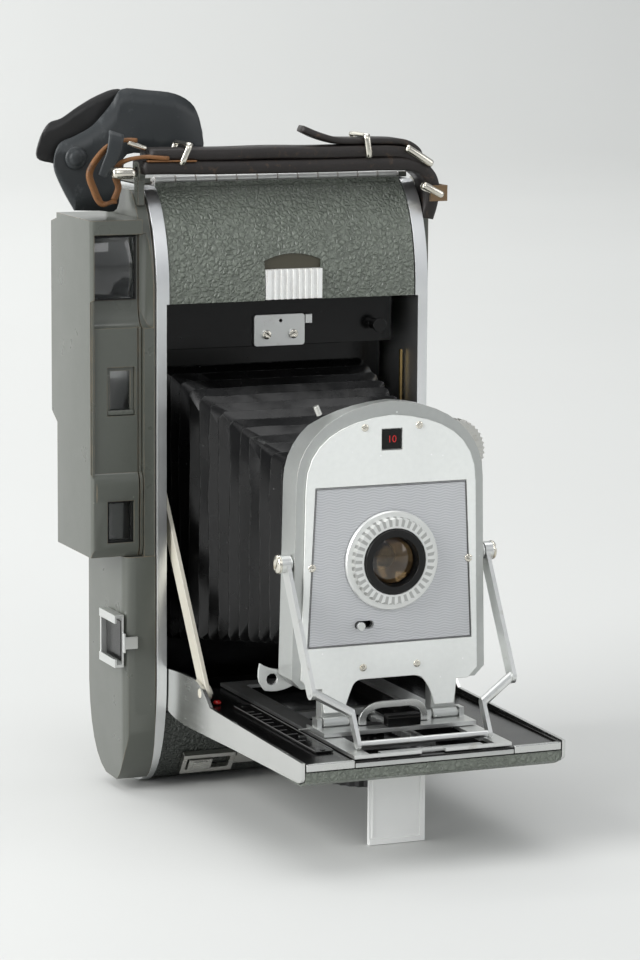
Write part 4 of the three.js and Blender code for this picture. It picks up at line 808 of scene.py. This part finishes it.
def flap_sheet(name, outline, depth, curl, thickness, material):
    """One vinyl sheet: its outline in (x, z), filled, bent out of its plane, then thickened."""
    edge = smooth_path([Vector((x, 0, z)) for x, z in [*outline, outline[0]]], 4)[:-1]
    work = bmesh.new()
    face = work.faces.new([work.verts.new(point) for point in edge])
    bmesh.ops.triangulate(work, faces=[face])
    bmesh.ops.subdivide_edges(work, edges=work.edges[:], cuts=3, use_grid_fill=True)
    bmesh.ops.smooth_vert(work, verts=[v for v in work.verts if not v.is_boundary], factor=0.5,
                          use_axis_x=True, use_axis_z=True)
    for vertex in work.verts:
        x, z = vertex.co.x, vertex.co.z
        ripple = 0.5 * math.sin(x * 0.16 + z * 0.11)
        roll = 0.010 * max(0.0, x + 50) ** 1.8
        vertex.co = at(x, depth + ripple + roll + curl * (z - FLAP_MIDDLE_Z), z)
    mesh = bpy.data.meshes.new(name)
    work.to_mesh(mesh)
    work.free()
    mesh.polygons.foreach_set("use_smooth", [True] * len(mesh.polygons))
    mesh.materials.append(material)
    obj = bpy.data.objects.new(name, mesh)
    bpy.context.scene.collection.objects.link(obj)
    shell = obj.modifiers.new("sheet_thickness", "SOLIDIFY")
    shell.thickness = thickness * MM
    shell.offset = 0
    with bpy.context.temp_override(object=obj, active_object=obj, selected_objects=[obj]):
        bpy.ops.object.modifier_apply(modifier=shell.name)
    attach(obj, "body")
    return obj


def flap():
    """The finder's soft cover, folded back over itself: a front sheet and, behind it, a sheet of the same
    vinyl painted darker as shade.
    """
    front = [(-86.6, 239.4), (-91.4, 248), (-95.0, 257.5), (-92.8, 266.1), (-86, 269.5), (-78.3, 273.7),
             (-70.4, 281.6), (-65.4, 288.0), (-55.2, 287.6), (-42.7, 285.8), (-34, 280.4), (-30.6, 270.1),
             (-31.6, 261.6), (-48, 261.0), (-64, 261.6), (-66.6, 252), (-68.6, 239.6), (-76, 239.0)]
    back = [(-93.6, 258.2), (-101.0, 260.8), (-99.6, 268.4), (-95.8, 274.6), (-90.5, 276.6), (-83.6, 281.1),
            (-75.2, 285.4), (-66, 288.0), (-60, 284), (-66, 276), (-80, 268), (-90, 262)]
    sheet = flap_sheet("finder_flap_sheet", front, 25.2, 0.04, 1.4, VINYL)
    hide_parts("finder_flap")
    behind = flap_sheet("finder_flap_back_sheet", back, 28.6, 0.02, 1.2, VINYL_SHADED)
    for obj in (sheet, behind):
        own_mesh(obj)


flap()
STUD_PROFILE = [(4.6, 0), (4.6, 0.5), (3.6, 0.9), (3.0, 1.0), (2.7, 1.6), (1.6, 2.0), (0.01, 2.1)]
stud = turned("flap_snap_stud", at(-86.0, 24.2, 260.7), (0, -1, 0), STUD_PROFILE, VINYL, "body", 28)
TAB_ROUTE = [at(-75.0, 6.4, 271.6), at(-75.8, 4.4, 269.4), at(-77.0, 4.2, 264.0), at(-79.4, 4.6, 258.8),
             at(-81.4, 5.4, 254.6)]
tab = swept("flap_hanging_tab", smooth_path(TAB_ROUTE, 7), strap_section(6.6, 1.3, 0.4), (0.97, 0, -0.24),
            VINYL, "body", lambda t: 1 - 0.45 * t * t)


# ---- small fittings ----------------------------------------------------------------------------------
FACE_Y = -100.9
PIVOT_Y = -96
PIVOT_Z = 111.4
for index, (x, z) in enumerate(((-11.5, 163.7), (11.5, 163.7), (-11.5, 69.1), (11.5, 69.1))):
    head = screw(f"face_screw_{index + 1}", at(x, FACE_Y, z), (0, -1, 0), 1.5, "standard", height=0.5,
                 slot_turn=25 + 40 * index)
for index, x in enumerate((-33.3, 33.3)):
    head = screw(f"panel_screw_{index + 1}", at(x, FACE_Y + 0.2, 109.8), (0, -1, 0), 1.6, "standard",
                 height=0.5, slot_turn=70 - 30 * index)
for side, sign in (("left", -1), ("right", 1)):
    head = screw(f"strut_pivot_screw_{side}", at(sign * 45.3, PIVOT_Y, PIVOT_Z), (sign, 0, 0), 3.8, "strut",
                 height=1.3, slot_turn=15)
    collar = turned(f"strut_pivot_collar_{side}", at(sign * 40.6, PIVOT_Y, PIVOT_Z), (sign, 0, 0),
                    [(3.3, 0), (3.3, 0.7), (2.9, 0.9), (0.01, 0.9)], SATIN, "standard", 28)
    rivet = screw(f"brace_rivet_{side}", at(sign * 50.9, -36.6, 49.1), (-sign, 0, 0), 2.6, f"brace_{side}",
                  height=0.7, slot=False)
    pin = screw(f"bed_hinge_pin_{side}", at(sign * 59.2, 11.5, 45.5), (sign, 0, 0), 1.9, "bed", height=0.5,
                slot=False)
for index, x in enumerate((-6, 6)):
    head = screw(f"catch_screw_{index + 1}", at(x, 14.9, 186.4), (0, -1, 0), 1.9, "body", height=0.4,
                 slot_turn=60 * index + 10)
BEAD_PROFILE = [(1.5, 0), (1.7, 0.6), (1.2, 1.3), (0.01, 1.5)]
bead = turned("red_index_bead", at(-46.5, -33.5, 43.4), (0, 0, 1), BEAD_PROFILE, RED, "bed", 20)


def exposure_window():
    """A small dark window in the face, with a red number on the dial behind it."""
    pane = block("exposure_window_pane", -4.0, 4.0, -100.7, -99.9, 154.8, 162.5, GLOSS_BLACK, "standard",
                 0.2)
    text = bpy.data.curves.new("exposure_number", "FONT")
    text.body = "10"
    text.size = 3.9 * MM
    text.extrude = 0.05 * MM
    text.align_x = "CENTER"
    text.align_y = "CENTER"
    number = bpy.data.objects.new("exposure_number", text)
    bpy.context.scene.collection.objects.link(number)
    number.rotation_euler = (math.pi / 2, 0, 0)
    number.location = at(0, -100.76, 158.6)
    text.materials.append(RED)
    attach(number, "standard")


exposure_window()


def panel_border():
    """The thin dark line round the printed panel."""
    y = FACE_Y + 0.12
    half = 0.12
    section = [(-half, -half), (half, -half), (half, half), (-half, half)]
    corners = [(-34.5, 78.6), (34.5, 78.6), (31.5, 140.4), (-31.5, 140.4)]
    for index in range(4):
        (x0, z0), (x1, z1) = corners[index], corners[(index + 1) % 4]
        path = [at(x0, y, z0), at((x0 + x1) / 2, y, (z0 + z1) / 2), at(x1, y, z1)]
        line = swept(f"panel_border_{index + 1}", path, section, (0, 1, 0), DIM, "standard")


panel_border()


SCALE_INFINITY_Y = -50
SCALE_SPREAD = 70  # mm of travel, over the distance in metres


def scale_marks():
    """Plain graduations on the distance scale and an index on the track."""
    distances = (1.0, 1.2, 1.5, 1.8, 2.2, 2.8, 3.6, 5.0, 8.0, 16.0)
    for index, metres in enumerate(distances):
        y = SCALE_INFINITY_Y - SCALE_SPREAD / metres
        end = -38.6 if index % 2 else -37.2
        mark = block(f"scale_mark_{index + 1}", -41.8, end, y - 0.2, y + 0.2, 43.85, 44.02, DIM, "bed", 0.03)
    for side, x in (("left", -42.6), ("right", -35.3)):
        edge = block(f"scale_edge_{side}", x, x + 0.35, -127, -42, 43.8, 44.1, DIM, "bed", 0.08)
    pointer = block("scale_pointer", -36.4, -31.0, -96.4, -95.4, 45.0, 45.6, CASE, "track", 0.15)


scale_marks()

# Seals and surrounds of the finder's three windows, and the sills under the lower two.
for name, x0, x1, z0, z1, y, wall, finish in (
    ("viewfinder_seal", -85.1, -66.5, 204.3, 230.3, 6.9, 0.7, GLOSS_BLACK),
    ("rangefinder_frame", -79.9, -68.3, 157.5, 177.1, 5.0, 1.5, CASTING),
    ("focus_window_frame", -80.5, -69.3, 105.5, 122.5, 3.0, 0.9, GLOSS_BLACK),
):
    window_ring(name, x0, x1, z0, z1, y, y + 1.3, wall, finish, "body")
block("rangefinder_sill", -79.9, -68.3, 3.9, 6.2, 157.5, 159.6, CASTING, "body", 0.6)
block("focus_window_sill", -80.5, -69.3, 2.3, 4.4, 104.0, 105.3, CASTING, "body", 0.5)

# Leather panel and screws on the back door, which the front view doesn't show.
back_leather = block("back_leather_panel", -52, 52, 61.9, 62.6, 52, 242, COVER, "back_door", 0.3)
for index, x in enumerate((-48, 48)):
    head = screw(f"back_screw_{index + 1}", at(x, 62.0, 20), (0, 1, 0), 2.2, "back_door", slot_turn=35)


def doorway_springs():
    """Two thin curved springs low inside the left of the doorway."""
    for index, lift in enumerate((0.0, 5.0)):
        route = smooth_path([at(-53.4, 27, 50 + lift), at(-52.4, 22, 55 + lift), at(-51.4, 17.5, 53 + lift),
                             at(-51, 14.5, 48 + lift * 0.6)], 8)
        wire = swept(f"doorway_spring_{index + 1}", route, round_section(0.45, 8), (1, 0, 0), NICKEL, "body")


doorway_springs()

# The cover's top lip, floors of the two recesses, and small fittings in the doorway.
lip = block("cover_top_lip", -54.2, 54.2, 17.3, 18.5, 247.6, 250.4, COVER, "body", 0.3)
# A dark plate laid in the latch recess as painted shade.
recess = block("latch_recess_plate", -12.5, 12.5, 2.75, 3.3, 203.4, 221.4, RECESS_SHADE, "body", 0.1)
shoe_floor = block("accessory_shoe_floor_plate", -75.0, -74.65, 2.6, 19.4, 56.2, 72.8, GLOSS_BLACK, "body",
                   0.1)
brass_strip = block("doorway_brass_strip", 53.8, 54.8, 13.4, 15.0, 156, 178, BRASS, "body", 0.2)
hook = block("catch_plate_tab", 11.6, 14.6, 15.6, 17.0, 190.4, 194.4, SATIN, "body", 0.3)

# The bed's bright front edge: a strip each side, and a lower apron that the track passes over.
STRIP_DEPTH = (-144.95, -143.3)
for side, sign in (("left", -1), ("right", 1)):
    x0, x1 = sorted((sign * 33.5, sign * 53.4))
    strip = block(f"bed_front_strip_{side}", x0, x1, *STRIP_DEPTH, 40.5, 43.5, POLISHED, "bed", 0.35)
apron = block("bed_front_apron", -33.2, 33.2, *STRIP_DEPTH, 40.5, 42.3, CASE, "bed", 0.3)


def foot_beads():
    """Raised side beads on the support foot."""
    for index, x in enumerate((-11.2, 10.2)):
        bead = block(f"foot_bead_{index + 1}", x, x + 1.0, -110.15, -109.7, 2.6, 27.5, BRUSHED, "foot", 0.2)


foot_beads()


# ---- studio ------------------------------------------------------------------------------------------
SWEEP_FLOOR = 3.0  # metres of floor behind the object, before the sweep curves up
SWEEP_RADIUS = 1.2
SWEEP_FRONT = -4.5
SWEEP_TOP = 5.5
FLOOR_DROP = 0.0002  # keeps the floor just under the base


def studio():
    """A pale sweep, a big soft light on the left, weaker ones round it, and a wash on the backdrop."""
    s = Shader("pale_sweep", (0.58, 0.586, 0.572), 0.6)
    s.vary_colour(400, 0.02)
    sweep_material = s.done()
    profile = [(SWEEP_FRONT, 0.0), (SWEEP_FLOOR, 0.0)]
    for angle in (math.radians(degrees) for degrees in range(6, 91, 6)):
        profile.append((SWEEP_FLOOR + SWEEP_RADIUS * math.sin(angle), SWEEP_RADIUS * (1 - math.cos(angle))))
    profile.append((SWEEP_FLOOR + SWEEP_RADIUS, SWEEP_TOP))
    sections = [[Vector((x, y, z - FLOOR_DROP)) for y, z in profile] for x in (-6, -3, 0, 3, 6)]
    vertices, faces = rings(sections, closed=False, caps=False)
    mesh = bpy.data.meshes.new("studio_sweep")
    mesh.from_pydata([tuple(v) for v in vertices], [], faces)
    mesh.polygons.foreach_set("use_smooth", [True] * len(mesh.polygons))
    mesh.materials.append(sweep_material)
    sweep = bpy.data.objects.new("studio_sweep", mesh)
    bpy.context.scene.collection.objects.link(sweep)

    world = bpy.data.worlds.new("studio_world")
    world.use_nodes = True
    world.node_tree.nodes["Background"].inputs["Color"].default_value = (0.93, 0.96, 1.0, 1)
    world.node_tree.nodes["Background"].inputs["Strength"].default_value = 0.42
    bpy.context.scene.world = world

    middle = (0, 0, 0.12)
    for name, place, target, size, power in (
        ("key_left", (-1.7, -0.3, 0.95), middle, 1.3, 42),
        ("front_fill", (-0.1, -1.9, 1.3), middle, 1.0, 7),
        ("fill_right", (1.4, -1.0, 0.7), middle, 1.0, 5),
        ("overhead", (0.1, 0.1, 1.7), middle, 1.4, 12),
        ("backdrop_wash", (-0.8, 1.8, 3.2), (-0.3, 4.2, 1.6), 1.8, 170),
    ):
        data = bpy.data.lights.new(name, "AREA")
        data.energy = power
        data.size = size
        light = bpy.data.objects.new(name, data)
        light.location = place
        light.rotation_mode = "QUATERNION"
        light.rotation_quaternion = (Vector(target) - light.location).to_track_quat("-Z", "Y")
        bpy.context.scene.collection.objects.link(light)
    bpy.context.scene.view_settings.view_transform = "Standard"
    bpy.context.scene.view_settings.look = "None"


studio()
